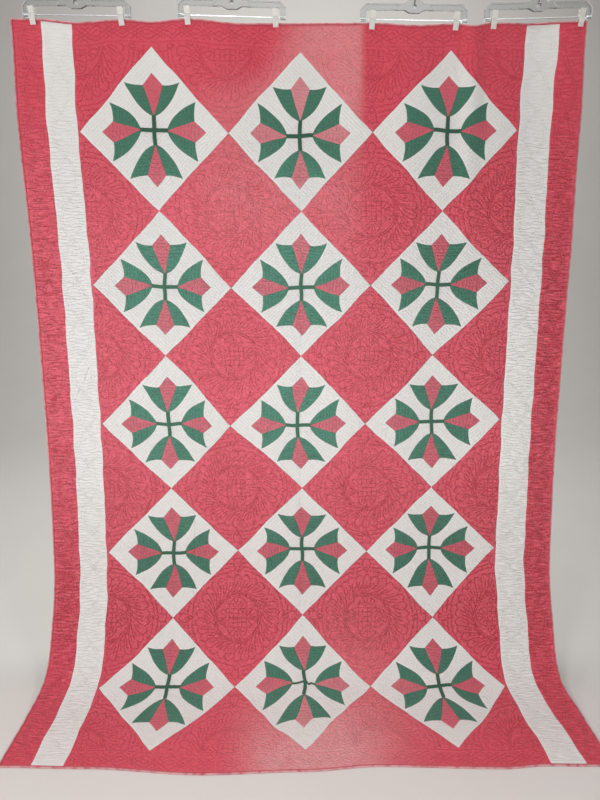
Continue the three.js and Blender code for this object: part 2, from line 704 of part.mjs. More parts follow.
// The hook's line in its own plane, from its head in the hub's eye, up and over a rail.
function hookLine() {
  const eyeTop = EYE_HEIGHT + Math.sqrt(EYE_RADIUS ** 2 - HOOK_HEAD_RADIUS ** 2);
  const headTop = eyeTop - 2 * CLEARANCE;
  const line = [
    [0, headTop - HOOK_HEAD_HEIGHT / 2],
    [0, HUB_TOP],
    [0, HOOK_NECK_TOP],
  ];
  for (let step = 0; step <= HOOK_ARC_STEPS; step += 1) {
    const angle = radians(THREE.MathUtils.lerp(HOOK_START, HOOK_END, step / HOOK_ARC_STEPS));
    line.push([-HOOK_RADIUS * Math.cos(angle), HOOK_CENTRE + HOOK_RADIUS * Math.sin(angle)]);
  }
  return { headTop, line };
}

function hookGeometry() {
  const { headTop, line } = hookLine();
  const path = new THREE.CatmullRomCurve3(line.map(([y, z]) => new THREE.Vector3(0, y, z)));
  const section = new THREE.Shape(
    Array.from({ length: WIRE_SIDES }, (_, side) => {
      const angle = ((side + 0.5) / WIRE_SIDES) * 2 * Math.PI;
      return new THREE.Vector2(Math.cos(angle), Math.sin(angle)).multiplyScalar(HOOK_WIRE_RADIUS);
    }),
  );
  const wire = new THREE.ExtrudeGeometry(section, { steps: HOOK_SEGMENTS, extrudePath: path });
  const head = bar(HOOK_HEAD_RADIUS, WIRE_SIDES, headTop - HOOK_HEAD_HEIGHT, headTop, false);
  return geometryOf(solidOf(wire).add(solidOf(head)));
}

// A clip from the side: handles above, a bridge round the rod, and jaws that close on the cloth.
function clipGeometry() {
  const handle = CLIP_HANDLE;
  const bridge = CLIP_BRIDGE;
  const jaw = CLIP_JAW;
  const tip = CLIP_TIP;
  const half = [
    [bridge.inner, -bridge.height],
    [jaw.inner, jaw.height],
    [tip.inner, tip.height],
    [tip.outer, tip.height],
    [jaw.outer, jaw.height],
    [bridge.outer, -bridge.height],
    [bridge.outer, bridge.height],
    [handle.outer, handle.height],
    [handle.inner, handle.height],
    [bridge.inner, bridge.height],
  ];
  const clip = solidOf(plate(mirrored(half), CLIP_WIDTH, -CLIP_WIDTH / 2, SIDE_ON));
  const hole = bar(CLIP_HOLE_RADIUS, CLIP_HOLE_SIDES, -CLIP_WIDTH, CLIP_WIDTH, true);
  return geometryOf(clip.subtract(solidOf(hole)));
}

function mesh(name, geometry, finish) {
  const made = new THREE.Mesh(geometry, new THREE.MeshStandardMaterial(finish));
  made.name = name;
  return made;
}

// How far a clip sits below the rod's middle, so that its hole rests on the rod.
function clipDrop(clip, hanger) {
  const slant = (CLIP_WIDTH / 2) * Math.tan(Math.abs(radians(clip.lean - hanger.tilt)));
  const holeReach = CLIP_HOLE_RADIUS * Math.cos(Math.PI / CLIP_HOLE_SIDES);
  return holeReach - ROD_RADIUS - CLEARANCE - slant;
}

function hangerGroup(hanger, index) {
  const group = new THREE.Group();
  const name = `hanger_${index + 1}`;
  group.add(mesh(`${name}_body`, bodyGeometry(), CLEAR_FINISH));
  group.add(mesh(`${name}_hook`, hookGeometry(), WIRE_FINISH));
  const rod = bar(ROD_RADIUS, WIRE_SIDES, -ROD_HALF, ROD_HALF, true);
  group.add(mesh(`${name}_rod`, rod, WIRE_FINISH));
  for (const clip of CLIPS.filter((row) => row.hanger === index)) {
    const piece = mesh(`${name}_clip_${clip.side}`, clipGeometry(), CLIP_FINISH);
    piece.position.set(clip.along, 0, -clipDrop(clip, hanger));
    piece.rotation.y = -radians(clip.lean - hanger.tilt);
    group.add(piece);
  }
  const clothMiddle = HANGING_PLANE - BINDING_THICK / 2;
  group.position.set(MIDDLE + hanger.across, clothMiddle, TOP_HEIGHT + hanger.above);
  group.rotation.y = -radians(hanger.tilt);
  return group;
}

const model = new THREE.Group();
model.add(mesh("quilt", quiltGeometry(), QUILT_FINISH));
for (const [side, strip] of Object.entries(bindingStrips())) {
  model.add(mesh(`binding_${side}`, strip, BINDING_FINISH));
}
model.add(...HANGERS.map(hangerGroup));

export default model;
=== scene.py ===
"""Dresses a patchwork quilt that hangs from four clip hangers, with its lower end on the floor.

The quilt is laid out flat in millimetres, across from its middle line and down from its top edge,
meshed along its seams and quilting lines, and then draped as its solid is.
"""
import math
import random
from functools import reduce

import bpy
import numpy as np
from mathutils import Color, Euler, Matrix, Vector, kdtree
from mathutils.geometry import delaunay_2d_cdt


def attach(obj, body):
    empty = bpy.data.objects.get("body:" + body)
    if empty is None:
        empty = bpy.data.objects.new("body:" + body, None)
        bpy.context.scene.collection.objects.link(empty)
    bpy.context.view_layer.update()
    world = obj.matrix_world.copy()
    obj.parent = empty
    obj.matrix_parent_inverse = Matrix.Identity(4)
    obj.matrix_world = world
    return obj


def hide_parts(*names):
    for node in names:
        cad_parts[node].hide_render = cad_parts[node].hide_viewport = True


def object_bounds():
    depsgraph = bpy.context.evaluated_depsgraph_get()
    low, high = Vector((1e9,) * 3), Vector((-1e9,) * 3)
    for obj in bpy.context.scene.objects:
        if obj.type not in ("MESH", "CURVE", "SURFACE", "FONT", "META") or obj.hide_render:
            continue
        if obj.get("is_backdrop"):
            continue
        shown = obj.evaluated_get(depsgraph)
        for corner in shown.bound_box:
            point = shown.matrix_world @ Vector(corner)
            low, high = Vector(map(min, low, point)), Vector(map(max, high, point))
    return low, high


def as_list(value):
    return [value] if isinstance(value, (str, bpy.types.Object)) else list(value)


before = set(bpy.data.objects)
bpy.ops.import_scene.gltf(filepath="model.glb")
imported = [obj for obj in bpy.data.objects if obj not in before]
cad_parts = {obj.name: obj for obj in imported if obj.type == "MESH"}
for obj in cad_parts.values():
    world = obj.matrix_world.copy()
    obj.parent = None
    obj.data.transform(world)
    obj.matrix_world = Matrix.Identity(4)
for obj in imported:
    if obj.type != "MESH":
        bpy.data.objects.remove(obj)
cad_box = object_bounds()
MM = 0.001
SEWING_SEED = 7
rng = random.Random(SEWING_SEED)

# Flat sizes of the quilt.
COLUMN_PITCH = 450.0  # diagonal of an on-point block, across
ROW_PITCH = 462.0  # and down
COLUMNS = 3
ROWS = 5
HALF_ACROSS = COLUMN_PITCH / 2
HALF_DOWN = ROW_PITCH / 2
FIRST_TIPS = 74.0  # the first row's upper corners
TOP_SEAM = 62.0
BOTTOM_SEAM = 2391.0
LENGTH = 2456.0
LEFT = -867.0
RIGHT = 871.0
FIELD_SEAM = 681.0  # from the middle line to the white bars
LEFT_BAR_SEAM = -776.0
RIGHT_BAR_SEAM = 780.0

# Heights above the plane of the quilt's back, and distances over which they change.
SEAM_THICK = 3.4
PUFF = 3.1  # rise of the batting far from any line
PUFF_REACH = 5.0  # how soon it rises beside a line
BACK_DRAW = 0.9  # how far the backing is drawn in at a line
CRUMPLE = 0.35  # how unevenly the batting rises
FLATTENED_WIDTH = 9.0
EDGE_INSET = 1.3  # of the cloth's edge in the binding
TONGUE_BACK = 1.3  # height of the backing there

# How strong the relief is, down the quilt, and with it the painted shade and highlights of its lines and
# wrinkles.
RELIEF = {
    "down": (0, 200, 450, 800, 1900, 2150, 2456),
    "share": (0.35, 0.42, 0.75, 1.0, 1.0, 0.65, 0.4),
}

# The binding's section: width in from its outer edge, height above the quilt's back and share of wear.
BINDING_SECTION = (
    (7.0, 4.3, 0.0), (6.3, 5.0, 0.1), (3.6, 5.15, 0.45), (1.3, 4.9, 0.9), (0.35, 4.1, 1.0), (0.0, 2.5, 0.9),
    (0.35, 0.9, 0.4), (1.3, 0.15, 0.1), (3.6, 0.0, 0.0), (6.3, 0.0, 0.0), (7.0, 0.6, 0.0),
    (6.6, 1.0, 0.0), (1.4, 1.1, 0.0), (1.0, 2.5, 0.0), (1.4, 4.0, 0.0), (6.6, 4.0, 0.0),
)
BINDING_GIRTH = 1.4  # on the cloth map, from point to point of the section
BINDING_STEP = 11.0

# Where the hanging quilt stands in the frame.
HANGING_PLANE = 310.0
MIDDLE = -2.0

# How the quilt falls: its tilt from upright, in degrees, at distances down from its top edge.
BENDS = {
    "down": (0, 74, 1460, 1691, 1922, 2037, 2153, 2268, 2300, 2456),
    "tilt": (0, 0, 4, 8, 30, 48, 73, 88, 90, 90),
}
# How it is drawn in or spread sideways on its way down.
SPREADS = {
    "down": (0, 300, 700, 1200, 1700, 1920, 2140, 2260, 2456),
    "share": (0.981, 0.995, 0.999, 1.003, 1.012, 1.01, 0.99, 1.002, 1.006),
    "sideways": (-9, -8, -1, -1, 0, 2, 0, 4, 5),
}
# Long soft folds of the hanging part: forward is towards the viewer.
FOLDS = (
    {"across": -560, "half": 190, "forward": 8, "start": 120, "end": 2150},
    {"across": -215, "half": 160, "forward": -7, "start": 200, "end": 2100},
    {"across": 130, "half": 170, "forward": 7, "start": 160, "end": 2050},
    {"across": 470, "half": 180, "forward": -8, "start": 260, "end": 2150},
    {"across": 760, "half": 120, "forward": 6, "start": 420, "end": 2100},
)
# How far the lower edge reaches forward on the floor, beyond its mean line.
LOWER_EDGE = {
    "across": (-850, -620, -285, 0, 205, 560, 680, 800),
    "reach": (-10, -4, 19, 10, -5, 5, -4, -2),
}
LOWER_EDGE_FROM = 2153.0
# Hangers: how far across their middles are, and their tilt in degrees.
HANGERS = (
    {"across": -662, "tilt": -0.4},
    {"across": -207, "tilt": -1.4},
    {"across": 330, "tilt": -0.5},
    {"across": 697, "tilt": 1.5},
)
# Clips from left to right, along their hangers: lift is how high they hold the edge, and sag and bulge
# shape the edge from each clip to the next one.
CLIPS = (
    {"hanger": 0, "along": -131, "lift": 5, "sag": -11, "bulge": 10},
    {"hanger": 0, "along": 129, "lift": 3.5, "sag": -3, "bulge": -9},
    {"hanger": 1, "along": -131, "lift": 6, "sag": -8, "bulge": 11},
    {"hanger": 1, "along": 128, "lift": -5, "sag": 4, "bulge": -12},
    {"hanger": 2, "along": -123, "lift": -3.5, "sag": -8, "bulge": 10},
    {"hanger": 2, "along": 125, "lift": -5, "sag": -10, "bulge": 13},
    {"hanger": 3, "along": -130, "lift": -2, "sag": 0, "bulge": -11},
    {"hanger": 3, "along": 129, "lift": 3, "sag": 0, "bulge": 0},
)
CLIP_FLAT = 10.0
LIFT_DEPTH = 320.0
BULGE_DEPTH = 950.0


def ease(share):
    """0 to 1 with level ends."""
    share = np.clip(share, 0, 1)
    return share * share * (3 - 2 * share)


def bell(off):
    """1 at the middle, falling away on both sides."""
    return np.exp(-(off**2))


def read(table, key, column, places):
    """A table's column at places between its rows, level at each row."""
    keys = np.array(table[key], float)
    values = np.array(table[column], float)
    places = np.clip(places, keys[0], keys[-1])
    upper = np.clip(np.searchsorted(keys, places, side="right"), 1, len(keys) - 1)
    share = ease((places - keys[upper - 1]) / (keys[upper] - keys[upper - 1]))
    return values[upper - 1] + share * (values[upper] - values[upper - 1])


def fall_arcs():
    """The side view of the quilt's back, one row of start, tilt, bend, back and height for each arc, and
    the height of its top edge."""
    arcs = []
    back = 0.0
    height = 0.0
    tilts = np.radians(BENDS["tilt"])
    for start, end, tilt, next_tilt in zip(BENDS["down"], BENDS["down"][1:], tilts, tilts[1:]):
        bend = (next_tilt - tilt) / (end - start)
        arcs.append((start, tilt, bend, back, height))
        _, (back,), (height,) = along_arc(np.array(arcs[-1:]), np.array([float(end)]))
    return np.array(arcs), -height


def along_arc(arcs, down):
    """Tilt, back and height at distances down, each on its own arc."""
    start, tilt, bend, back, height = arcs.T
    run = down - start
    end_tilt = tilt + bend * run
    straight = bend == 0
    radius = 1 / np.where(straight, 1, bend)
    step_back = np.where(straight, -np.sin(tilt) * run, (np.cos(end_tilt) - np.cos(tilt)) * radius)
    step_down = np.where(straight, np.cos(tilt) * run, (np.sin(end_tilt) - np.sin(tilt)) * radius)
    return end_tilt, back + step_back, height - step_down


FALL_ARCS, TOP_HEIGHT = fall_arcs()


def clip_place(clip):
    """Where a clip holds the flat quilt."""
    hanger = HANGERS[clip["hanger"]]
    sideways = hanger["across"] + clip["along"] * math.cos(math.radians(hanger["tilt"]))
    return (sideways - SPREADS["sideways"][0]) / SPREADS["share"][0]


def top_edge(across):
    """The wave of the top edge: its lift and its bulge towards the viewer, level at each clip."""
    places = [clip_place(clip) for clip in CLIPS]
    lift = np.where(across < places[0], float(CLIPS[0]["lift"]), float(CLIPS[-1]["lift"]))
    bulge = np.zeros(len(across))
    for clip, after, place, end in zip(CLIPS, CLIPS[1:], places, places[1:]):
        here = (across >= place) & (across < end)
        share = np.clip((across[here] - place - CLIP_FLAT) / (end - place - 2 * CLIP_FLAT), 0, 1)
        swell = np.sin(np.pi * share) ** 2
        lift[here] = clip["lift"] + ease(share) * (after["lift"] - clip["lift"]) + clip["sag"] * swell
        bulge[here] = clip["bulge"] * swell
    return lift, bulge


def fold_forward(fold, across, down):
    """How far one long fold stands forward."""
    off = np.minimum(np.abs(across - fold["across"]) / fold["half"], 1)
    along = np.clip((down - fold["start"]) / (fold["end"] - fold["start"]), 0, 1)
    return fold["forward"] * np.cos(off * np.pi / 2) ** 2 * np.sin(np.pi * along) ** 2


def drape(flat, height):
    """Draped places, in metres, of flat points at heights above the quilt's back."""
    across, down = np.asarray(flat, float).T
    arc = np.clip(np.searchsorted(FALL_ARCS[:, 0], down, side="right") - 1, 0, len(FALL_ARCS) - 1)
    tilt, back, level = along_arc(FALL_ARCS[arc], down)
    lift, bulge = top_edge(across)
    folds = sum(fold_forward(fold, across, down) for fold in FOLDS)
    out = height + folds + bulge * (1 - ease(down / BULGE_DEPTH))
    settle = ease((down - LOWER_EDGE_FROM) / (LENGTH - LOWER_EDGE_FROM))
    reach = settle * read(LOWER_EDGE, "across", "reach", across)
    spread = across * read(SPREADS, "down", "share", down)
    x = MIDDLE + spread + read(SPREADS, "down", "sideways", down)
    y = HANGING_PLANE + back - np.cos(tilt) * out - reach
    z = TOP_HEIGHT + level + np.sin(tilt) * out + lift * (1 - ease(down / LIFT_DEPTH))
    return np.stack([x, y, z], 1) * MM


# Hand-pieced unevenness: how far the pieces stray from an even grid, by the reach over which each shift
# fades out. A row gives the place, in block widths from the middle and block heights from the first
# tips, and the shift across and down.
STRAYS = {
    200.0: (
        (-1.0, 0.0, 0, -7), (0.0, 0.0, 5, 4), (1.0, 0.0, 11, -2),
        (-1.0, 0.5, 2, -7), (-0.5, 0.5, 6, 3), (0.0, 0.5, 2, 10), (1.0, 0.5, 9, -6), (1.5, 0.5, 0, -8),
        (-1.0, 1.5, 6, 4), (-0.5, 1.5, -5, 8), (0.0, 1.5, -2, 8), (1.0, 1.5, -7, -3), (1.5, 1.5, 0, -12),
        (1.0, 2.0, -12, -1), (-0.5, 2.5, -17, 12), (0.0, 2.5, -15, 7), (0.5, 2.5, -9, 0),
        (1.0, 2.5, -8, -4), (1.5, 2.5, 0, -11), (-1.0, 3.5, 5, 4), (0.0, 3.5, 1, -10),
        (1.0, 3.5, -5, -10), (1.5, 3.5, -4, -9), (0.0, 4.0, 0, -7), (0.0, 4.5, 6, -17), (1.0, 4.5, 6, 2),
    ),
    260.0: ((1.62, -0.16, 12, 0), (1.62, 5.15, 17, 0)),
    90.0: ((0.3, 4.66, 0, -13),),
    70.0: ((0.04, 4.82, -4, -12),),
    60.0: ((0.18, 4.79, 0, -14), (-0.18, 4.79, -7, 7)),
    45.0: ((0.09, 4.5, -4, 7), (1.09, 4.5, 0, -6), (0.91, 4.5, -2, 5)),
}
HOLD_WIDTH = 40.0  # over which the shifts fade out at the edges
WAVER = 1.1
WAVER_LENGTHS = (173.0, 131.0, 61.0)
WAVER_SLANTS = (0.4, -0.3)


def waver(flat):
    """Small wandering of hand-cut and hand-sewn lines."""
    across, down = flat.T
    shift = np.zeros_like(flat)
    for turn, wave in enumerate(WAVER_LENGTHS):
        angle = 2 * np.pi / wave
        size = WAVER * wave / WAVER_LENGTHS[0]
        shift[:, 0] += size * np.sin(angle * (down + WAVER_SLANTS[0] * across) + turn)
        shift[:, 1] += size * np.sin(angle * (across + WAVER_SLANTS[1] * down) + 2 * turn)
    return shift


def stray(flat):
    """The even layout moved to where the pieces really lie, with the outer edges left in place."""
    shift = waver(flat)
    for reach, rows in STRAYS.items():
        for column, row, *moved in rows:
            middle = (column * COLUMN_PITCH, FIRST_TIPS + row * ROW_PITCH)
            share = 1 - ease(np.linalg.norm(flat - middle, axis=1) / reach)
            shift += share[:, None] * moved
    across, down = flat.T
    from_sides = np.minimum(across - LEFT, RIGHT - across)
    from_ends = np.minimum(down, LENGTH - down)
    return flat + shift * ease(np.stack([from_sides, from_ends], 1) / HOLD_WIDTH)


def inset(flat):
    """How far flat points are from the nearest edge of the quilt."""
    across, down = flat.T
    return np.minimum.reduce([across - LEFT, RIGHT - across, down, LENGTH - down])


# One tulip of a block, in half diagonals: sideways and outwards from the block's middle.
TULIP_BASE = (0.0, 0.175)
KITE_SHOULDER = (0.13, 0.552)
KITE_TIP = (0.0, 0.7)
PETAL_TIP = (0.366, 0.582)
PETAL_BELLY = (0.205, 0.225)
PETAL_DIP = (0.249, 0.54)
CURVE_STEPS = 12


def curve(start, pull, end, steps=CURVE_STEPS):
    """A quadratic curve as points."""
    share = np.linspace(0, 1, steps + 1)[:, None]
    start, pull, end = (np.array(point, float) for point in (start, pull, end))
    return (1 - share) ** 2 * start + 2 * share * (1 - share) * pull + share**2 * end


PETAL_BACK = curve(TULIP_BASE, PETAL_BELLY, PETAL_TIP)
PETAL_TOP = curve(PETAL_TIP, PETAL_DIP, KITE_SHOULDER, CURVE_STEPS // 2)
PETAL = np.concatenate([PETAL_BACK, PETAL_TOP[1:]])
KITE = np.array([TULIP_BASE, KITE_SHOULDER, KITE_TIP, (-KITE_SHOULDER[0], KITE_SHOULDER[1])])


def closed_sides(corners):
    """The sides of a closed outline, as pairs of corners."""
    return zip(corners, np.roll(corners, -1, axis=0))


def inside(points, outline):
    """Which points lie inside a closed outline."""
    x, y = points.T
    found = np.zeros(len(points), bool)
    for (x0, y0), (x1, y1) in closed_sides(outline):
        crosses = (y0 > y) != (y1 > y)
        found ^= crosses & (x < x0 + (y - y0) * (x1 - x0) / ((y1 - y0) or 1))
    return found


# Spacing of points along the lines and between them, and how far a hand-sewn line wobbles.
SEAM_STEP = 11.0
CURVE_STEP = 7.0
HATCH_STEP = 15.0
FILL_STEP = 8.2
FILL_ROW_STEP = 0.87 * FILL_STEP
FILL_CLEAR = 3.7
SAMPLE_STEP = 3.0
WOBBLE = 1.2


def paced(points, step):
    """A line's points, evenly spaced at about a step."""
    points = np.asarray(points, float)
    runs = np.concatenate([[0], np.cumsum(np.linalg.norm(np.diff(points, axis=0), axis=1))])
    places = np.linspace(0, runs[-1], max(2, round(runs[-1] / step) + 1))
    return np.stack([np.interp(places, runs, points[:, axis]) for axis in (0, 1)], 1)


def stretches(points, kept):
    """The parts of a line whose points are kept."""
    breaks = np.flatnonzero(np.diff(kept.astype(int))) + 1
    parts = np.split(np.arange(len(points)), breaks)
    return [points[part] for part in parts if kept[part[0]] and len(part) > 1]


class Sewing:
    """Lines on the flat quilt along which its layers are held together."""

    def __init__(self):
        self.lines = []
        self.between = []

    def add(self, points, kind):
        self.lines.append((np.asarray(points, float), kind))

    def quilt(self, points, kind):
        """Adds a line as a hand sews it, not quite true."""
        wobble = [(rng.gauss(0, WOBBLE), rng.gauss(0, WOBBLE)) for _ in points]
        self.add(np.asarray(points) + wobble, kind)

    def of(self, *kinds):
        return [points for points, kind in self.lines if kind in kinds]


def tree_of(lines):
    """A search tree of points along the lines."""
    points = np.concatenate([paced(line, SAMPLE_STEP) for line in lines] + list(lines))
    tree = kdtree.KDTree(len(points))
    for index, (x, y) in enumerate(points):
        tree.insert((x, y, 0), index)
    tree.balance()
    return tree


def distances(tree, flat):
    return np.array([tree.find((x, y, 0))[2] for x, y in flat])


def middles(columns, rows, first):
    """Middles of a grid of squares on point, row by row."""
    for row in range(rows):
        for column in range(columns):
            yield np.array(((column - (columns - 1) / 2) * COLUMN_PITCH, first + row * ROW_PITCH))


BLOCKS = list(middles(COLUMNS, ROWS, FIRST_TIPS + HALF_DOWN))
WREATHS = list(middles(COLUMNS + 1, ROWS + 1, FIRST_TIPS))
HALF_DIAGONALS = np.array((HALF_ACROSS, HALF_DOWN))
QUARTERS = [np.array(((out, aside), (-aside, out))) for out, aside in ((1, 0), (0, 1), (-1, 0), (0, -1))]
BLOCK_CORNERS = np.array(((0, -1), (1, 0), (0, 1), (-1, 0)))


def in_block(flat):
    """Each flat point in the half diagonals of its nearest block."""
    column = np.clip(np.round(flat[:, 0] / COLUMN_PITCH), -(COLUMNS // 2), COLUMNS // 2)
    row = np.clip(np.floor((flat[:, 1] - FIRST_TIPS) / ROW_PITCH), 0, ROWS - 1)
    middle = np.stack([column * COLUMN_PITCH, FIRST_TIPS + HALF_DOWN + row * ROW_PITCH], 1)
    return (flat - middle) / HALF_DIAGONALS


RED, WHITE, GREEN, TULIP_RED = range(4)


def patch_of(flat):
    """Which cloth shows at each flat point."""
    across = flat[:, 0]
    local = np.abs(in_block(flat))
    folded = np.sort(local, axis=1)
    bars = (np.abs(across) > FIELD_SEAM) & (across > LEFT_BAR_SEAM) & (across < RIGHT_BAR_SEAM)
    cloth = np.where(bars | (local.sum(1) < 1), WHITE, RED)
    block = np.flatnonzero(local.sum(1) < 1)
    cloth[block[inside(folded[block], PETAL)]] = GREEN
    cloth[block[inside(folded[block], KITE)]] = TULIP_RED
    return cloth


def block_seams():
    """The sides of a block and the edges of its tulips' patches, in half diagonals."""
    yield from closed_sides(BLOCK_CORNERS)
    for turn in QUARTERS:
        for side in (1, -1):
            for part in (PETAL_BACK, PETAL_TOP, (KITE_SHOULDER, TULIP_BASE), (KITE_SHOULDER, KITE_TIP)):
                yield (np.array(part) * (side, 1)) @ turn


def sew_seams(sewing):
    left, right = LEFT + EDGE_INSET, RIGHT - EDGE_INSET
    top, low = EDGE_INSET, LENGTH - EDGE_INSET
    for side in closed_sides(np.array([(left, top), (right, top), (right, low), (left, low)])):
        sewing.add(paced(side, SEAM_STEP), "edge")
    bar_seams = (LEFT_BAR_SEAM, -FIELD_SEAM, FIELD_SEAM, RIGHT_BAR_SEAM)
    seams = [((across, top), (across, low)) for across in bar_seams]
    seams += [((-FIELD_SEAM, down), (FIELD_SEAM, down)) for down in (TOP_SEAM, BOTTOM_SEAM)]
    seams += [middle + HALF_DIAGONALS * seam for middle in BLOCKS for seam in block_seams()]
    for seam in seams:
        sewing.add(paced(seam, SEAM_STEP), "seam")


# Feathered wreath: a ring of curved feathers round a double spine, and four shells inside it.
SPINE_RADIUS = 80.0
SPINE_GAP = 5.5
FEATHERS = {"count": 30, "notch": 131.0, "tip": 146.0, "round": 0.7, "sweep": 34.0, "vein": (0.5, 0.9)}
CENTRE_HALF = 31.0
CENTRE_LINES = 5
SHELL = {"half": 31.0, "height": 39.0, "ribs": 5, "rib_start": 0.3, "rib_end": 0.88}
CORNER_DROP = {"foot": 153.0, "length": 50.0, "half": 14.0}
DROP_SCALES = (0.45, 1.0)
ECHO_RADII = (160.0, 174.0, 188.0, 202.0)
ECHO_CLEAR = 5.0
FEATHER_STEPS = 9
CIRCLE_STEPS = 80
QUILTING_CLEAR = 3.0


def round_points(radius, angle):
    return np.stack([radius * np.cos(angle), radius * np.sin(angle)], 1)


def feather_ring(phase):
    """The sides and veins of the feathers, each leaving the spine along it and turning outwards, and
    their rounded tips."""
    share = np.linspace(0, 1, FEATHER_STEPS + 1)
    turn = share * np.pi / 2
    step = 2 * np.pi / FEATHERS["count"]
    radius = SPINE_RADIUS + (FEATHERS["notch"] - SPINE_RADIUS) * (1 - np.cos(turn))
    swept = math.radians(FEATHERS["sweep"]) * (1 - np.sin(turn))
    bulge = np.sin(np.pi * share) ** FEATHERS["round"]
    lobe = FEATHERS["notch"] + (FEATHERS["tip"] - FEATHERS["notch"]) * bulge
    vein_start, vein_end = FEATHERS["vein"]
    vein = (share > vein_start) & (share < vein_end)
    for feather in range(FEATHERS["count"]):
        angle = phase + feather * step
        yield round_points(radius, angle - swept)
        yield round_points(radius, angle + step / 2 - swept)[vein]
        yield round_points(lobe, angle + step * share)


def shells():
    """Four ribbed shells between the middle grid and the spine."""
    angles = np.linspace(0, np.pi, 2 * FEATHER_STEPS + 1)
    size = (SHELL["half"], SHELL["height"])
    lines = [round_points(1.0, angles) * size]
    for rib in range(SHELL["ribs"]):
        way = round_points(1.0, np.array([np.pi * (rib + 1) / (SHELL["ribs"] + 1)])) * size
        lines.append(np.outer((SHELL["rib_start"], SHELL["rib_end"]), way[0]))
    for turn in QUARTERS:
        for line in lines:
            yield (line + (0, CENTRE_HALF)) @ turn


def corner_drops():
    """Drops one inside the other, pointing to each corner of the square."""
    share = np.linspace(0, 1, 2 * FEATHER_STEPS + 1)
    drop = CORNER_DROP
    size = (drop["half"], drop["length"])
    outline = np.stack([np.sin(2 * np.pi * share), np.sin(np.pi * share)], 1) * size
    for turn in QUARTERS:
        for scale in DROP_SCALES:
            yield (outline * scale + (0, drop["foot"])) @ turn


def corner_echoes():
    """Arcs round the wreath, from each drop out to the square's sides."""
    drop = CORNER_DROP
    for radius in ECHO_RADII:
        share = min((radius - drop["foot"]) / drop["length"], 1)
        drop_half = 2 * drop["half"] * share * math.sqrt(1 - share**2)
        angles = np.linspace((drop_half + ECHO_CLEAR) / radius, np.pi / 4, FEATHER_STEPS)
        for turn in range(len(QUARTERS)):
            for side in (1, -1):
                yield round_points(radius, turn * np.pi / 2 + side * angles)


def centre_grid():
    """Crossed lines in the middle of the wreath."""
    for line in np.linspace(-CENTRE_HALF, CENTRE_HALF, CENTRE_LINES):
        yield np.array([(-CENTRE_HALF, line), (CENTRE_HALF, line)])
        yield np.array([(line, -CENTRE_HALF), (line, CENTRE_HALF)])


def wreath(phase):
    circle = np.linspace(0, 2 * np.pi, CIRCLE_STEPS)
    for radius in (SPINE_RADIUS, SPINE_RADIUS - SPINE_GAP):
        yield round_points(radius, circle)
    yield from feather_ring(phase)
    yield from shells()
    yield from corner_drops()
    yield from corner_echoes()
    yield from centre_grid()


def in_red_field(flat):
    """Inside the red squares and triangles between the blocks, clear of their seams."""
    local = np.abs(in_block(flat)).sum(1)
    across, down = flat.T
    clear = local > 1 + QUILTING_CLEAR / HALF_ACROSS
    level = (down > TOP_SEAM + QUILTING_CLEAR) & (down < BOTTOM_SEAM - QUILTING_CLEAR)
    return clear & level & (np.abs(across) < FIELD_SEAM - QUILTING_CLEAR)


def sew_wreaths(sewing):
    for middle in WREATHS:
        for line in wreath(rng.uniform(0, 2 * np.pi)):
            points = middle + paced(line, CURVE_STEP)
            near = np.abs((points - middle) / HALF_DIAGONALS).sum(1) < 1
            for part in stretches(points, in_red_field(points) & near):
                sewing.quilt(part, "red")


# Straight quilting across the tulips and over the white ground of their blocks.
TULIP_PITCH = 10.5
TULIP_FIRST = 12.0  # from a tulip's base to its first line
TULIP_SLANT = 2.0
GROUND_PITCH = 13.0
HATCH_TEST_STEP = 3.0


def hatch(sewing, points, cloths, seams, kind):
    """A straight line of quilting where any of the cloths shows, clear of the seams."""
    points = paced(points, HATCH_TEST_STEP)
    clear = distances(seams, points) > QUILTING_CLEAR
    for part in stretches(points, clear & np.isin(patch_of(points), cloths)):
        sewing.quilt(paced(part, HATCH_STEP), kind)


def sew_tulips(sewing, middle, seams):
    """Lines across each tulip of a block."""
    half = PETAL_TIP[0] * HALF_ACROSS
    first = TULIP_BASE[1] * HALF_ACROSS + TULIP_FIRST
    for turn in QUARTERS:
        for out in np.arange(first, KITE_TIP[1] * HALF_ACROSS, TULIP_PITCH):
            ends = np.array([(-half, out - TULIP_SLANT), (half, out + TULIP_SLANT)])
            hatch(sewing, middle + ends @ turn, (GREEN, TULIP_RED), seams, "tulip")


def sew_ground(sewing, middle, slant, seams):
    """Slanting lines over the white ground of a block."""
    corner = np.array((HALF_ACROSS, slant * HALF_ACROSS))
    for off in np.arange(-HALF_ACROSS, HALF_ACROSS, GROUND_PITCH):
        points = paced(middle + (off, 0) + [-corner, corner], HATCH_TEST_STEP)
        near = np.abs((points - middle) / HALF_DIAGONALS).sum(1) < 1
        for part in stretches(points, near):
            hatch(sewing, part, WHITE, seams, "white")


def sew_blocks(sewing, seams):
    for number, middle in enumerate(BLOCKS):
        sew_tulips(sewing, middle, seams)
        sew_ground(sewing, middle, 1 if number % 2 else -1, seams)


# Side bars: a cable of two strands down each, and short puckers across it in rows. Strips at the ends:
# zigzags that cross.
CABLE_PERIOD = 250.0
CABLE_CLEAR = 16.0
CABLE_GAP = 9.0
BAR_PITCH = 9.8
BAR_UNEVEN = (0.8, 1.2)
BAR_SWAY = 2.8
BAR_FIRST = 16.0
BAR_WAVE = (34.0, 75.0)
DASH = (28.0, 110.0)
DASH_GAP = (5.0, 12.0)
ZIGZAG_PITCH = 148.0
ZIGZAG_LINES = 3
ZIGZAG_OFFSET = 12.0
STRIP_CLEAR = 7.0


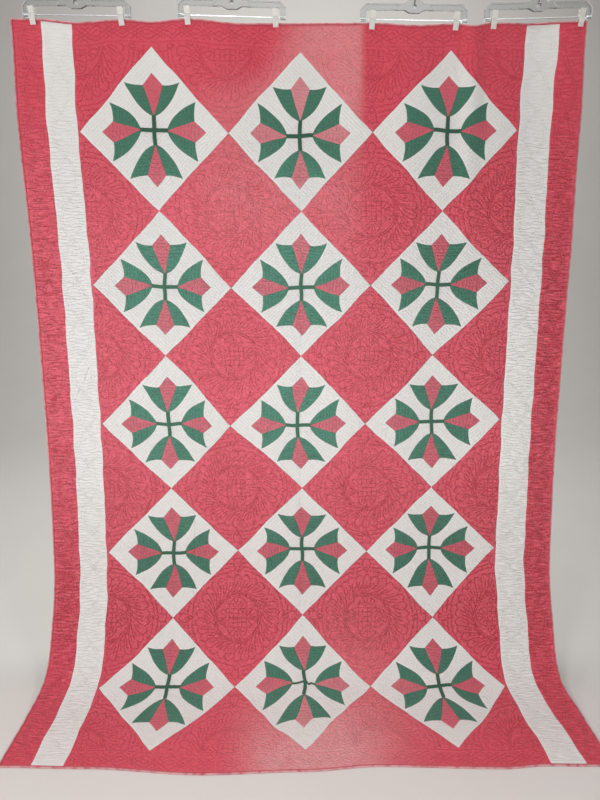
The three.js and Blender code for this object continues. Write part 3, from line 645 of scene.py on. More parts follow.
def sew_cable(sewing, start, end, kind):
    """Two strands of two lines each that wind round each other."""
    down = np.arange(BAR_FIRST, LENGTH - BAR_FIRST, CURVE_STEP)
    swing = (end - start) / 2 - CABLE_CLEAR
    for side in (-1, 1):
        for off in (-CABLE_GAP / 2, CABLE_GAP / 2):
            across = (start + end) / 2 + off + side * swing * np.sin(2 * np.pi * down / CABLE_PERIOD)
            sewing.quilt(np.stack([across, down], 1), kind)


def pucker_bar(sewing, start, end, kind):
    """Rows of puckers across a bar, and points for the mesh between the rows."""
    down = BAR_FIRST
    while down < LENGTH - BAR_FIRST:
        across = start + QUILTING_CLEAR
        wave = rng.uniform(*BAR_WAVE)
        phase = rng.uniform(0, 2 * np.pi)
        while across < end - DASH_GAP[1]:
            stop = min(across + rng.uniform(*DASH), end - QUILTING_CLEAR)
            places = np.linspace(across, stop, max(2, round((stop - across) / BAR_PITCH)))
            sway = BAR_SWAY * np.sin(2 * np.pi * places / wave + phase)
            sewing.add(np.stack([places, down + sway], 1), kind)
            across = stop + rng.uniform(*DASH_GAP)
        step = BAR_PITCH * rng.uniform(*BAR_UNEVEN)
        sewing.between.extend((place, down + step / 2) for place in np.arange(start, end, BAR_PITCH)[1:])
        down += step


def sew_strip(sewing, top, low):
    """Zigzags that cross each other from side to side."""
    turns = np.arange(-FIELD_SEAM, FIELD_SEAM + ZIGZAG_PITCH, ZIGZAG_PITCH / 2)
    for line in range(ZIGZAG_LINES):
        for flip in (0, 1):
            levels = np.where((np.arange(len(turns)) + flip) % 2, top, low)
            levels = levels + (line - ZIGZAG_LINES // 2) * ZIGZAG_OFFSET
            points = paced(np.stack([turns, levels], 1), CURVE_STEP)
            kept = (points[:, 1] > top) & (points[:, 1] < low)
            kept &= np.abs(points[:, 0]) < FIELD_SEAM - QUILTING_CLEAR
            for part in stretches(points, kept):
                sewing.quilt(part, "red")


def sew_borders(sewing):
    bars = (
        (LEFT + FLATTENED_WIDTH, LEFT_BAR_SEAM, "bar", "pucker"),
        (LEFT_BAR_SEAM, -FIELD_SEAM, "white_cable", "white_pucker"),
        (FIELD_SEAM, RIGHT_BAR_SEAM, "white_cable", "white_pucker"),
        (RIGHT_BAR_SEAM, RIGHT - FLATTENED_WIDTH, "bar", "pucker"),
    )
    for start, end, cable, pucker in bars:
        sew_cable(sewing, start, end, cable)
        pucker_bar(sewing, start, end, pucker)
    sew_strip(sewing, FLATTENED_WIDTH + STRIP_CLEAR / 2, TOP_SEAM - STRIP_CLEAR)
    sew_strip(sewing, BOTTOM_SEAM + STRIP_CLEAR, LENGTH - FLATTENED_WIDTH - STRIP_CLEAR / 2)


# Creases from long folding: soft troughs between two flat places.
CREASES = (
    {"start": (-3, 470), "end": (-9, 1960), "half": 6, "depth": 1.3},
    {"start": (-375, 1440), "end": (-380, 2000), "half": 6, "depth": 1.2},
    {"start": (545, 1500), "end": (800, 1466), "half": 8, "depth": 2.2},
    {"start": (-708, 1036), "end": (-764, 1152), "half": 5, "depth": 3.4, "kind": "sharp_crease"},
    {"start": (193, 10), "end": (197, 420), "half": 7, "depth": 0.9},
    {"start": (402, 484), "end": (350, 632), "half": 10, "depth": 6.5},
)


def trough(crease, flat):
    """One crease, deepest along its middle and gone at its ends."""
    start, end = np.array(crease["start"], float), np.array(crease["end"], float)
    run = end - start
    share = np.clip((flat - start) @ run / (run @ run), 0, 1)
    away = np.linalg.norm(flat - start - share[:, None] * run, axis=1)
    return crease["depth"] * np.sqrt(np.sin(np.pi * share)) * bell(away / crease["half"])


def crease_depth(flat):
    return sum(trough(crease, flat) for crease in CREASES)


def all_sewing():
    sewing = Sewing()
    sew_seams(sewing)
    seams = tree_of(sewing.of("seam", "edge"))
    sew_wreaths(sewing)
    sew_blocks(sewing, seams)
    sew_borders(sewing)
    for crease in CREASES:
        sewing.add(paced([crease["start"], crease["end"]], SEAM_STEP), crease.get("kind", "crease"))
    return sewing


def fill_points(sewing):
    """Points spread evenly between the lines."""
    rows = np.arange(FLATTENED_WIDTH, LENGTH - FLATTENED_WIDTH, FILL_ROW_STEP)
    columns = np.arange(-FIELD_SEAM, FIELD_SEAM, FILL_STEP)
    across, down = np.meshgrid(columns, rows)
    across = across + np.where(np.arange(len(rows)) % 2, FILL_STEP / 2, 0)[:, None]
    points = np.concatenate([np.stack([across.ravel(), down.ravel()], 1), sewing.between])
    return points[distances(tree_of([line for line, _ in sewing.lines]), points) > FILL_CLEAR]


# How dark each kind of line shows, as painted shade in its groove and a painted shadow line along the seams
# and creases; it also sets the painted highlight beside the line and the furrow of the bump.
LINE_STRENGTH = {
    "edge": 0.0, "seam": 0.9, "red": 1.0, "tulip": 0.5, "white": 0.12,
    "bar": 0.3, "pucker": 0.8, "white_cable": 0.05, "white_pucker": 0.12,
    "crease": 0.2, "sharp_crease": 3.4,
}
FAR = 99.0  # where a side is no line


def triangulated(sewing):
    """Flat points, triangles that follow every line, and how near each corner is to its lines."""
    points = []
    edges = []
    strengths = []
    for line, kind in sewing.lines:
        first = len(points)
        points.extend(line.tolist())
        edges.extend((first + step, first + step + 1) for step in range(len(line) - 1))
        strengths.extend([LINE_STRENGTH[kind]] * (len(line) - 1))
    points.extend(fill_points(sewing).tolist())
    places = [Vector(point) for point in points]
    found, sides, faces, _, origins, _ = delaunay_2d_cdt(places, edges, [], 0, MM)
    flat = np.array([tuple(point) for point in found])
    faces = np.array(faces)
    shown = [max((strengths[line] for line in lines), default=0) for lines in origins]
    return flat, faces, line_distances(flat, faces, np.array(sides), np.array(shown))


def line_distances(flat, faces, sides, strengths):
    """At each corner of each triangle, its distance from the triangle's three sides, far where a
    side is no line and longer where its line is faint."""
    count = len(flat)
    keys = sides.min(1) * count + sides.max(1)
    order = np.argsort(keys)
    corners = flat[faces]
    run = corners[:, 1] - corners[:, 0]
    rise = corners[:, 2] - corners[:, 0]
    twice_area = np.abs(run[:, 0] * rise[:, 1] - run[:, 1] * rise[:, 0])
    near = np.full((len(faces), 3, 3), FAR)
    for corner in range(3):
        ends = faces[:, [(corner + 1) % 3, (corner + 2) % 3]]
        place = np.searchsorted(keys, ends.min(1) * count + ends.max(1), sorter=order)
        strength = strengths[order[place]]
        on_line = strength > 0
        length = np.linalg.norm(flat[ends[:, 0]] - flat[ends[:, 1]], axis=1)
        near[on_line, :, corner] = 0
        near[on_line, corner, corner] = (twice_area / length)[on_line] / strength[on_line]
    return near


def link(name, data):
    """A new object at the origin of the scene."""
    piece = bpy.data.objects.new(name, data)
    bpy.context.scene.collection.objects.link(piece)
    return piece


def set_values(mesh, name, values, kind="FLOAT", domain="POINT"):
    """Numbers or vectors on the points or the corners of a mesh."""
    attribute = mesh.attributes.new(name, kind, domain)
    field = "vector" if kind == "FLOAT_VECTOR" else "value"
    attribute.data.foreach_set(field, np.asarray(values, np.float32).ravel())


def set_map(mesh, name, places):
    """A UV map, from the place of each point on it."""
    corners = np.zeros(len(mesh.loops), np.int32)
    mesh.loops.foreach_get("vertex_index", corners)
    layer = mesh.uv_layers.new(name=name)
    layer.data.foreach_set("uv", np.asarray(places, np.float32)[corners].ravel())


def shade_smooth(mesh):
    mesh.polygons.foreach_set("use_smooth", np.ones(len(mesh.polygons), bool))


def make_mesh(name, points, faces, materials, maps=None):
    """A smooth-shaded object at the origin, with its own maps."""
    mesh = bpy.data.meshes.new(name)
    mesh.from_pydata(np.asarray(points).tolist(), [], np.asarray(faces).tolist())
    for material in materials:
        mesh.materials.append(material)
    for map_name, places in (maps or {}).items():
        set_map(mesh, map_name, places)
    shade_smooth(mesh)
    mesh.update()
    return link(name, mesh)


def cloth_map(flat):
    """The flat layout in metres, for weave, fades and wrinkles."""
    return flat * (MM, -MM)


def bake_map(flat):
    """The flat layout within one square."""
    share = (flat - (LEFT, 0)) / LENGTH
    return np.stack([share[:, 0], 1 - share[:, 1]], 1)


class Quilted:
    """The quilt's flat mesh with the relief that its quilting gives it."""

    def __init__(self):
        self.sewing = all_sewing()
        self.flat, self.faces, self.near = triangulated(self.sewing)
        self.sewn = tree_of([line for line, kind in self.sewing.lines if not kind.endswith("crease")])
        self.from_line = distances(self.sewn, self.flat)
        self.place = stray(self.flat)
        self.share = read(RELIEF, "down", "share", self.flat[:, 1])
        self.edge = ease((inset(self.flat) - FLATTENED_WIDTH) / FLATTENED_WIDTH)
        crumple = np.array([rng.uniform(-CRUMPLE, CRUMPLE) for _ in self.flat])
        rise = (1 - np.exp(-self.from_line / PUFF_REACH)) * (PUFF + crumple)
        self.puff = rise * self.share * self.edge
        self.crease = crease_depth(self.flat) * self.edge

    def rise_at(self, flat):
        """How far the quilted ground rises at other flat places."""
        return (1 - np.exp(-distances(self.sewn, flat) / PUFF_REACH)) * PUFF

    def front_height(self):
        return SEAM_THICK + self.puff - self.crease

    def back_height(self):
        drawn = BACK_DRAW * np.exp(-self.from_line / PUFF_REACH) * self.share
        tongue = TONGUE_BACK * (1 - ease(inset(self.flat) / FLATTENED_WIDTH))
        return drawn * self.edge + tongue - self.crease


# The cloths: colours as they look under even light, red green blue from 0 to 255: plain, a lighter colour for
# paler threads, the painted pool of light and painted highlights, a deeper one for painted shade with some
# dirt; how dark the painted shade in their grooves and wrinkles and how pale the painted highlights on their
# crests show, and how deep their relief is.
CLOTHS = {
    "turkey_red": {
        "plain": (214, 59, 79), "light": (255, 119, 137), "deep": (166, 30, 50), "faded": (238, 176, 177),
        "grooves": 0.8, "wrinkles": 0.7, "crests": 1.0, "relief": 1.0,
    },
    "white_muslin": {
        "plain": (233, 232, 230), "light": (235, 235, 234), "deep": (150, 146, 143),
        "grooves": 0.9, "wrinkles": 0.12, "crests": 0.3, "relief": 0.45,
    },
    "leaf_green": {
        "plain": (67, 121, 98), "light": (96, 162, 139), "deep": (18, 40, 30),
        "grooves": 0.45, "wrinkles": 0.4, "crests": 0.3, "relief": 1.0,
    },
    "tulip_red": {
        "plain": (222, 96, 113), "light": (240, 134, 148), "deep": (108, 30, 42), "faded": (232, 170, 174),
        "grooves": 0.55, "wrinkles": 0.4, "crests": 0.3, "relief": 1.0,
    },
    "backing_muslin": {
        "plain": (231, 227, 217), "light": (226, 219, 204), "deep": (170, 160, 143),
        "grooves": 0.6, "wrinkles": 0.12, "crests": 0.3, "relief": 0.6,
    },
    "stem_green": {
        "plain": (50, 90, 71), "light": (66, 112, 91), "deep": (26, 52, 40),
        "grooves": 0.0, "wrinkles": 0.3, "crests": 0.3, "relief": 1.0,
    },
}
PATCH_CLOTHS = ("turkey_red", "white_muslin", "leaf_green", "tulip_red")  # by the patches' numbers
BINDING_COLOURS = {"plain": (200, 74, 90), "light": (214, 59, 79), "worn": (240, 186, 190)}
THREADS = {"red_thread": (160, 46, 62), "pale_thread": (214, 209, 200), "grey_thread": (120, 118, 104)}
SCREEN_WHITE = 255


def colour(values):
    """A linear colour from one as seen on a screen."""
    screen = Color([value / SCREEN_WHITE for value in values])
    return (*screen.from_srgb_to_scene_linear(), 1.0)


# A mix node's sockets: the share, the two that it mixes, and what it gives.
MIX_SOCKETS = {"RGBA": (0, 6, 7, 2), "VECTOR": (0, 4, 5, 1)}
# A random value's sockets: its lowest and its highest, as plain numbers.
RANDOM_SOCKETS = (2, 3)
SOFT_DETAIL = 1.0
PLAIN_DETAIL = 2.0
FINE_DETAIL = 4.0


class Graph:
    """Short calls that fill one node tree."""

    def __init__(self, tree):
        self.tree = tree

    def put(self, socket, value):
        if isinstance(value, bpy.types.NodeSocket):
            self.tree.links.new(value, socket)
        else:
            socket.default_value = value

    def fill(self, node, inputs):
        for name, value in inputs.items():
            self.put(node.inputs[name], value)

    def add(self, kind, inputs=None, **settings):
        node = self.tree.nodes.new(kind)
        for name, value in settings.items():
            setattr(node, name, value)
        self.fill(node, inputs or {})
        return node

    def math(self, operation, *values, clamp=False):
        inputs = dict(enumerate(values))
        return self.add("ShaderNodeMath", inputs, operation=operation, use_clamp=clamp).outputs[0]

    def times(self, *values):
        return reduce(lambda first, second: self.math("MULTIPLY", first, second), values)

    def mix(self, share, first, second, kind="RGBA"):
        *sockets, mixed = MIX_SOCKETS[kind]
        inputs = dict(zip(sockets, (share, first, second)))
        return self.add("ShaderNodeMix", inputs, data_type=kind).outputs[mixed]

    def smooth(self, value, low, high):
        inputs = {"Value": value, "From Min": low, "From Max": high}
        return self.add("ShaderNodeMapRange", inputs, interpolation_type="SMOOTHSTEP").outputs[0]

    def noise(self, vector, scale, detail=PLAIN_DETAIL):
        inputs = {"Vector": vector, "Scale": scale, "Detail": detail}
        return self.add("ShaderNodeTexNoise", inputs).outputs["Fac"]

    def stretched(self, vector, across, down):
        inputs = {"Vector": vector, "Scale": (across, down, 1.0)}
        return self.add("ShaderNodeMapping", inputs).outputs[0]

    def split(self, vector):
        return self.add("ShaderNodeSeparateXYZ", {"Vector": vector}).outputs

    def attribute(self, name, output="Fac"):
        return self.add("ShaderNodeAttribute", attribute_name=name).outputs[output]

    def object_place(self):
        return self.add("ShaderNodeTexCoord").outputs["Object"]

    def cloth_place(self):
        return self.add("ShaderNodeUVMap", uv_map="cloth").outputs["UV"]

    def group(self, tree, vector):
        return self.add("ShaderNodeGroup", {"Vector": vector}, node_tree=tree).outputs

    def bump(self, height, distance):
        return self.add("ShaderNodeBump", {"Height": height, "Distance": distance}).outputs["Normal"]


def new_group(name, outputs, **values):
    """A node group that reads a place on the cloth and plain values: its graph, its inputs and the node
    that its outputs go to."""
    tree = bpy.data.node_groups.new(name, "ShaderNodeTree")
    tree.interface.new_socket("Vector", in_out="INPUT", socket_type="NodeSocketVector")
    for socket, value in values.items():
        made = tree.interface.new_socket(socket, in_out="INPUT", socket_type="NodeSocketFloat")
        made.default_value = value
    for socket in outputs:
        tree.interface.new_socket(socket, in_out="OUTPUT", socket_type="NodeSocketFloat")
    graph = Graph(tree)
    return graph, graph.add("NodeGroupInput").outputs, graph.add("NodeGroupOutput")


# Weave: the pitch of its threads, their slubs, and how much their crossings shade and raise it.
THREAD_PITCH = 0.0011
SLUB_LONG = 55.0
SLUB_FINE = 620.0
CROSSING_SHADE = 0.12
CROSSING_HEIGHT = 0.5


def woven_cotton():
    """Plain weave with uneven threads: its shade and its height, both about 0 to 1."""
    graph, inputs, outputs = new_group("Woven cotton", ("Shade", "Height"), Pitch=THREAD_PITCH)
    place = inputs["Vector"]
    split = graph.split(place)
    turns = graph.math("DIVIDE", 2 * math.pi, inputs["Pitch"])
    crossing = graph.times(*(graph.math("SINE", graph.times(split[axis], turns)) for axis in ("X", "Y")))
    warp = graph.noise(graph.stretched(place, SLUB_FINE, SLUB_LONG), 1.0)
    weft = graph.noise(graph.stretched(place, SLUB_LONG, SLUB_FINE), 1.0)
    slubs = graph.math("DIVIDE", graph.math("ADD", warp, weft), 2)
    graph.fill(outputs, {
        "Shade": graph.math("MULTIPLY_ADD", crossing, CROSSING_SHADE, slubs),
        "Height": graph.math("MULTIPLY_ADD", crossing, CROSSING_HEIGHT, slubs),
    })
    return graph.tree


# Quilting lines: the half width of the painted shade along them, the crown beside them where a highlight is
# painted, and the furrow, in millimetres from the line, and how unevenly the thread is pulled.
LINE_HALF = 1.45
CROWN = (1.2, 4.0)
FURROW_HALF = 4.5
PULL_SCALE = 70.0
PULL = (0.22, 0.6)
# How much darker the painted shade and how much deeper the furrow of the side bars' lines show than those of
# the field.
BAR_DARK = 0.6
BAR_DEEP = 1.3


def on_bars(graph, vector):
    """1 on the side bars and 0 on the field between them."""
    across = graph.math("ABSOLUTE", graph.split(vector)["X"])
    return graph.math("GREATER_THAN", across, FIELD_SEAM * MM)


def bar_factor(graph, bars, factor):
    """A factor on the side bars and 1 elsewhere."""
    return graph.math("MULTIPLY_ADD", bars, factor - 1, 1.0)


def quilting_groove():
    """How deep in a line of stitches a point is, for the painted shade in its groove, how far on the crown of
    the padding beside it, for a painted highlight, and how high between the lines, for the bump, each from 0
    to 1."""
    graph, inputs, outputs = new_group("Quilting groove", ("GrooveShade", "CrownHighlight", "Rise"))
    place = inputs["Vector"]
    split = graph.split(graph.attribute("line_near", "Vector"))
    distance = graph.math("MINIMUM", graph.math("MINIMUM", split["X"], split["Y"]), split["Z"])
    drawn = graph.attribute("drawn")
    bars = on_bars(graph, place)
    pull = graph.smooth(graph.noise(place, PULL_SCALE), *PULL)
    half = graph.math("MULTIPLY_ADD", pull, LINE_HALF, LINE_HALF / 2)
    line = graph.smooth(distance, half, 0.0)
    furrow = graph.smooth(distance, 0.0, FURROW_HALF)
    # Painted shade along each line and a painted highlight on the crown beside it; the rise goes to the bump.
    graph.fill(outputs, {
        "GrooveShade": graph.times(line, drawn, bar_factor(graph, bars, BAR_DARK), pull),
        "CrownHighlight": graph.times(graph.smooth(distance, *CROWN), drawn),
        "Rise": graph.times(furrow, drawn, bar_factor(graph, bars, BAR_DEEP)),
    })
    return graph.tree


# Bleached places of the old cloth, and places drawn lighter by a painted pool of light: for each side, its
# place in metres on the cloth map and the width over which it softens. Where a left side leans, it does so by
# a share of the height.
BLEACHED_FOLDS = (
    {"left": (-0.02, 0.16), "right": (0.193, 0.03), "top": (0.2, 0.05), "low": (-0.26, 0.3),
     "lean": 0.4, "weight": 0.6},
    {"left": (-0.3, 0.3), "right": (0.18, 0.1), "top": (-0.18, 0.2), "low": (-0.64, 0.4), "weight": 0.42},
    {"left": (-0.5, 0.2), "right": (0.2, 0.34), "top": (-2.26, 0.34), "low": (-2.7, 0.05),
     "lean": -0.14, "weight": 1.05},
    {"left": (0.0, 0.3), "right": (0.32, 0.36), "top": (-1.95, 0.4), "low": (-2.4, 0.3), "weight": 0.4},
)
# Painted light: the cloth is drawn lighter where the lamps' light pools on the left and middle of the quilt.
PAINTED_LIGHT_POOLS = (
    {"left": (-0.5, 0.6), "right": (0.16, 0.3), "top": (-0.4, 0.3), "low": (-0.95, 0.6), "weight": 1.0},
    {"left": (-1.3, 0.3), "right": (0.5, 0.9), "top": (-0.6, 0.7), "low": (-1.6, 0.7), "weight": 0.95},
    {"left": (-1.3, 0.3), "right": (-0.65, 0.2), "top": (-0.32, 0.4), "low": (-1.2, 0.4), "weight": 0.35},
    {"left": (-0.5, 0.6), "right": (0.4, 0.6), "top": (-1.75, 0.4), "low": (-2.9, 0.3), "weight": 0.3},
)
CLOUD_SCALE = 9.0
CLOUDS = (-0.1, 0.6)


def zones(name, table):
    """How much of a change the cloth shows at a place, from 0 to 1."""
    graph, inputs, outputs = new_group(name, ("Share",))
    split = graph.split(inputs["Vector"])
    across, up = split["X"], split["Y"]
    total = 0.0
    for zone in table:
        left = graph.math("MULTIPLY_ADD", up, -zone.get("lean", 0.0), across)
        sides = []
        for value, side, way in ((left, "left", 1), (across, "right", -1), (up, "top", -1), (up, "low", 1)):
            place, soft = zone[side]
            sides.append(graph.smooth(value, place - way * soft / 2, place + way * soft / 2))
        total = graph.math("MULTIPLY_ADD", graph.times(*sides), zone["weight"], total)
    cloudy = graph.smooth(graph.noise(inputs["Vector"], CLOUD_SCALE, FINE_DETAIL), *CLOUDS)
    graph.fill(outputs, {"Share": graph.math("MULTIPLY", total, cloudy, clamp=True)})
    return graph.tree


# Wrinkles: noise drawn out across or down the cloth, with painted shade near its middle level and high away
# from it.
FIELD_GRAIN = (0.8, 1.15)
BAR_GRAIN = (0.2, 1.0)
WRINKLES = ({"scale": 84.0, "weight": 1.0}, {"scale": 170.0, "weight": 0.5})
WRINKLE_LEVEL = 0.5
WRINKLE_HALF = 0.045
WRINKLE_TOP = 0.16
CREST = (0.07, 0.2)
BREAK_SCALE = 50.4
BREAKS = (0.42, 0.58)
BAR_WIDER = 1.6  # the wrinkles of the side bars
# Pebbled grain between the wrinkles, drawn out into crinkles across the side bars, with painted shade in its
# dips and painted highlights on its tops.
GRAIN = {"scale": 190.0, "low": 0.38, "high": 0.62, "dark": 0.36, "rise": 0.4}
BAR_CRINKLE = (0.15, 0.72)
BAR_RISE = 1.2  # how much higher the crinkles rise
CREST_SHARE = 0.5


def wrinkled():
    """Fine wrinkles of washed cotton: the painted shade of their hollows, the painted highlights of their
    crests and their height, each from 0 to 1.
    """
    graph, inputs, outputs = new_group("Wrinkled cotton", ("HollowShade", "CrestHighlight", "Height"))
    place = inputs["Vector"]
    bars = on_bars(graph, place)
    field = graph.stretched(place, *FIELD_GRAIN)
    vector = graph.mix(bars, field, graph.stretched(place, *BAR_GRAIN), "VECTOR")
    pebbled = graph.mix(bars, field, graph.stretched(place, *BAR_CRINKLE), "VECTOR")
    half = graph.times(bar_factor(graph, bars, BAR_WIDER), WRINKLE_HALF)
    hollow = 0.0
    height = 0.0
    crest = 0.0
    for row in WRINKLES:
        level = graph.noise(vector, row["scale"])
        away = graph.math("ABSOLUTE", graph.math("SUBTRACT", level, WRINKLE_LEVEL))
        hollow = graph.math("MAXIMUM", graph.times(graph.smooth(away, half, 0.0), row["weight"]), hollow)
        top = graph.smooth(away, 0.0, WRINKLE_TOP)
        height = graph.math("MULTIPLY_ADD", top, row["weight"] / 2, height)
        crest = graph.math("MULTIPLY_ADD", graph.smooth(away, *CREST), row["weight"] / 2, crest)
    broken = graph.smooth(graph.noise(vector, BREAK_SCALE, SOFT_DETAIL), *BREAKS)
    hollow = graph.times(hollow, graph.math("MAXIMUM", broken, bars))
    pebble = graph.smooth(graph.noise(pebbled, GRAIN["scale"], SOFT_DETAIL), GRAIN["low"], GRAIN["high"])
    dip = graph.math("SUBTRACT", 1.0, pebble)
    hollow = graph.math("MAXIMUM", hollow, graph.times(dip, GRAIN["dark"]))
    crest = graph.times(graph.math("ADD", crest, pebble), CREST_SHARE)
    rise = graph.times(bar_factor(graph, bars, BAR_RISE), GRAIN["rise"])
    height = graph.math("MULTIPLY_ADD", pebble, rise, height)
    drawn = graph.attribute("drawn")
    found = {"HollowShade": hollow, "CrestHighlight": crest, "Height": height}
    graph.fill(outputs, {name: graph.times(value, drawn) for name, value in found.items()})
    return graph.tree


WOVEN = woven_cotton()
GROOVE = quilting_groove()
BLEACHED = zones("Bleached folds", BLEACHED_FOLDS)
# Painted light: the share of the painted pool of light at each place.
PAINTED_LIGHT_POOL = zones("Painted light pools", PAINTED_LIGHT_POOLS)
WRINKLED = wrinkled()


def new_material(name):
    """A material, its graph and its shader."""
    material = bpy.data.materials.new(name)
    material.use_nodes = True
    return material, Graph(material.node_tree), material.node_tree.nodes["Principled BSDF"]


def mottled(graph, share, tint, dulled):
    """A tint that is darker, by a factor, where a share is high."""
    return graph.mix(share, colour(tint), colour([dulled * value for value in tint]))


CLOTH_ROUGHNESS = 0.93
CLOTH_SHEEN = 0.08
BUMP_DEPTH = 0.0024
BINDING_BUMP = BUMP_DEPTH / 4
WEAVE_SHARE = 0.1
WRINKLE_SHARE = 2.2
THREAD_SHADES = (0.25, 0.8)
THREAD_LIGHT = 0.2
RUBBED_SCALE = 45.0
RUBBED = (0.2, 0.6)


def cloth_material(name):
    """Quilted cotton: woven, bleached in places, lighter where a pool of light is painted, with painted shade
    and some dirt in its grooves and wrinkles and painted highlights and some wear on its crests.
    """
    cloth = CLOTHS[name]
    plain, light, deep = (colour(cloth[shade]) for shade in ("plain", "light", "deep"))
    material, graph, shader = new_material(name)
    vector = graph.cloth_place()
    weave, quilting, creased = (graph.group(tree, vector) for tree in (WOVEN, GROOVE, WRINKLED))
    # Painted light: the tint turns lighter where the pool of light is painted.
    tint = graph.mix(graph.group(PAINTED_LIGHT_POOL, vector)["Share"], plain, light)
    threads = graph.smooth(weave["Shade"], *THREAD_SHADES)
    tint = graph.mix(graph.times(threads, THREAD_LIGHT), tint, light)
    if "faded" in cloth:
        tint = graph.mix(graph.group(BLEACHED, vector)["Share"], tint, colour(cloth["faded"]))
    # Painted highlight with some wear: paler on the crests of the wrinkles and on the padding's crowns beside
    # the lines.
    pale = graph.times(graph.math("ADD", creased["CrestHighlight"], quilting["CrownHighlight"]), cloth["crests"] / 2)
    tint = graph.mix(pale, tint, light)
    # Painted shade with some dirt: darker in the quilting grooves, along the seams and creases, and in the
    # wrinkle hollows.
    groove = graph.times(quilting["GrooveShade"], cloth["grooves"])
    dark = graph.math("MAXIMUM", graph.times(creased["HollowShade"], cloth["wrinkles"]), groove)
    height = graph.math("MULTIPLY_ADD", weave["Height"], WEAVE_SHARE, quilting["Rise"])
    height = graph.math("MULTIPLY_ADD", creased["Height"], WRINKLE_SHARE, height)
    graph.fill(shader, {
        "Base Color": graph.mix(dark, tint, deep),
        "Normal": graph.bump(height, BUMP_DEPTH * cloth["relief"]),
        "Roughness": CLOTH_ROUGHNESS,
        "Sheen Weight": CLOTH_SHEEN,
    })
    return material


def binding_material():
    """The red strip on the edge, worn pale along its fold."""
    plain, light, pale = (colour(shade) for shade in BINDING_COLOURS.values())
    material, graph, shader = new_material("binding_cotton")
    vector = graph.cloth_place()
    weave = graph.group(WOVEN, vector)
    rubbed = graph.smooth(graph.noise(vector, RUBBED_SCALE, FINE_DETAIL), *RUBBED)
    tint = graph.mix(graph.smooth(weave["Shade"], *THREAD_SHADES), plain, light)
    graph.fill(shader, {
        "Base Color": graph.mix(graph.times(graph.attribute("worn"), rubbed), tint, pale),
        "Normal": graph.bump(weave["Height"], BINDING_BUMP),
        "Roughness": CLOTH_ROUGHNESS,
    })
    return material


TWIST_SCALE = 900.0
TWIST_DULLED = 0.8


def thread_material(name):
    """Sewing thread with a fine twist."""
    material, graph, shader = new_material(name)
    twist = graph.noise(graph.object_place(), TWIST_SCALE, SOFT_DETAIL)
    tint = mottled(graph, twist, THREADS[name], TWIST_DULLED)
    graph.fill(shader, {"Base Color": tint, "Roughness": CLOTH_ROUGHNESS})
    return material


PLASTIC = {"tint": (240, 244, 245), "flow": (20.0, 60.0), "depth": 0.0004, "bending": 1.49, "roughness": 0.06}
WIRE = {"tint": (196, 198, 200), "roughness": 0.22, "dulled": 0.85, "metallic": 1.0}
METALS = {
    "hook_wire": WIRE,
    "rod_wire": WIRE,
    "clip_plate": {"tint": (232, 231, 226), "roughness": 0.42, "dulled": 0.94, "metallic": 0.35},
}
SCUFFS = {"grain": (300.0, 900.0), "low": 0.4, "high": 0.7, "rougher": 0.2}


def clear_plastic():
    """Moulded clear plastic with faint flow marks."""
    material, graph, shader = new_material("clear_plastic")
    flow = graph.noise(graph.stretched(graph.object_place(), *PLASTIC["flow"]), 1.0)
    graph.fill(shader, {
        "Base Color": colour(PLASTIC["tint"]),
        "Normal": graph.bump(flow, PLASTIC["depth"]),
        "Transmission Weight": 1.0,
        "IOR": PLASTIC["bending"],
        "Roughness": PLASTIC["roughness"],
    })
    return material


def metal(name):
    """Plated steel with fine scuffs."""
    plate = METALS[name]
    material, graph, shader = new_material(name)
    marks = graph.noise(graph.stretched(graph.object_place(), *SCUFFS["grain"]), 1.0, FINE_DETAIL)
    scuffed = graph.smooth(marks, SCUFFS["low"], SCUFFS["high"])
    graph.fill(shader, {
        "Base Color": mottled(graph, scuffed, plate["tint"], plate["dulled"]),
        "Roughness": graph.math("MULTIPLY_ADD", marks, SCUFFS["rougher"], plate["roughness"]),
        "Metallic": plate["metallic"],
    })
    return material


def quilt_layer(name, quilted, height, way, cloths):
    """One side of the quilt, draped at its height, its triangles wound backwards where way is -1."""
    maps = {"cloth": cloth_map(quilted.flat), "OFBake": bake_map(quilted.flat)}
    materials = [cloth_material(cloth) for cloth in cloths]
    layer = make_mesh(name, drape(quilted.place, height), quilted.faces[:, ::way], materials, maps)
    set_values(layer.data, "drawn", quilted.share)
    set_values(layer.data, "line_near", quilted.near[:, ::way], "FLOAT_VECTOR", "CORNER")
    return layer


def quilt_top(quilted):
    top = quilt_layer("quilt_top", quilted, quilted.front_height(), -1, PATCH_CLOTHS)
    slots = patch_of(quilted.flat[quilted.faces].mean(1))
    top.data.polygons.foreach_set("material_index", np.asarray(slots, np.int32))
    return top


def quilt_backing(quilted):
    return quilt_layer("quilt_backing", quilted, quilted.back_height(), 1, ["backing_muslin"])


def edge_stations():
    """Places round the quilt's edge and, at each, the way inwards from it."""
    corners = np.array([(LEFT, 0, 1, 1), (RIGHT, 0, -1, 1), (RIGHT, LENGTH, -1, -1), (LEFT, LENGTH, 1, -1)])
    for (x0, y0, in_x, in_y), (x1, y1, *_) in closed_sides(corners):
        yield (x0, y0), (in_x, in_y)
        inwards = (in_x, 0) if x0 == x1 else (0, in_y)
        for place in paced([(x0, y0), (x1, y1)], BINDING_STEP)[1:-1]:
            yield place, inwards


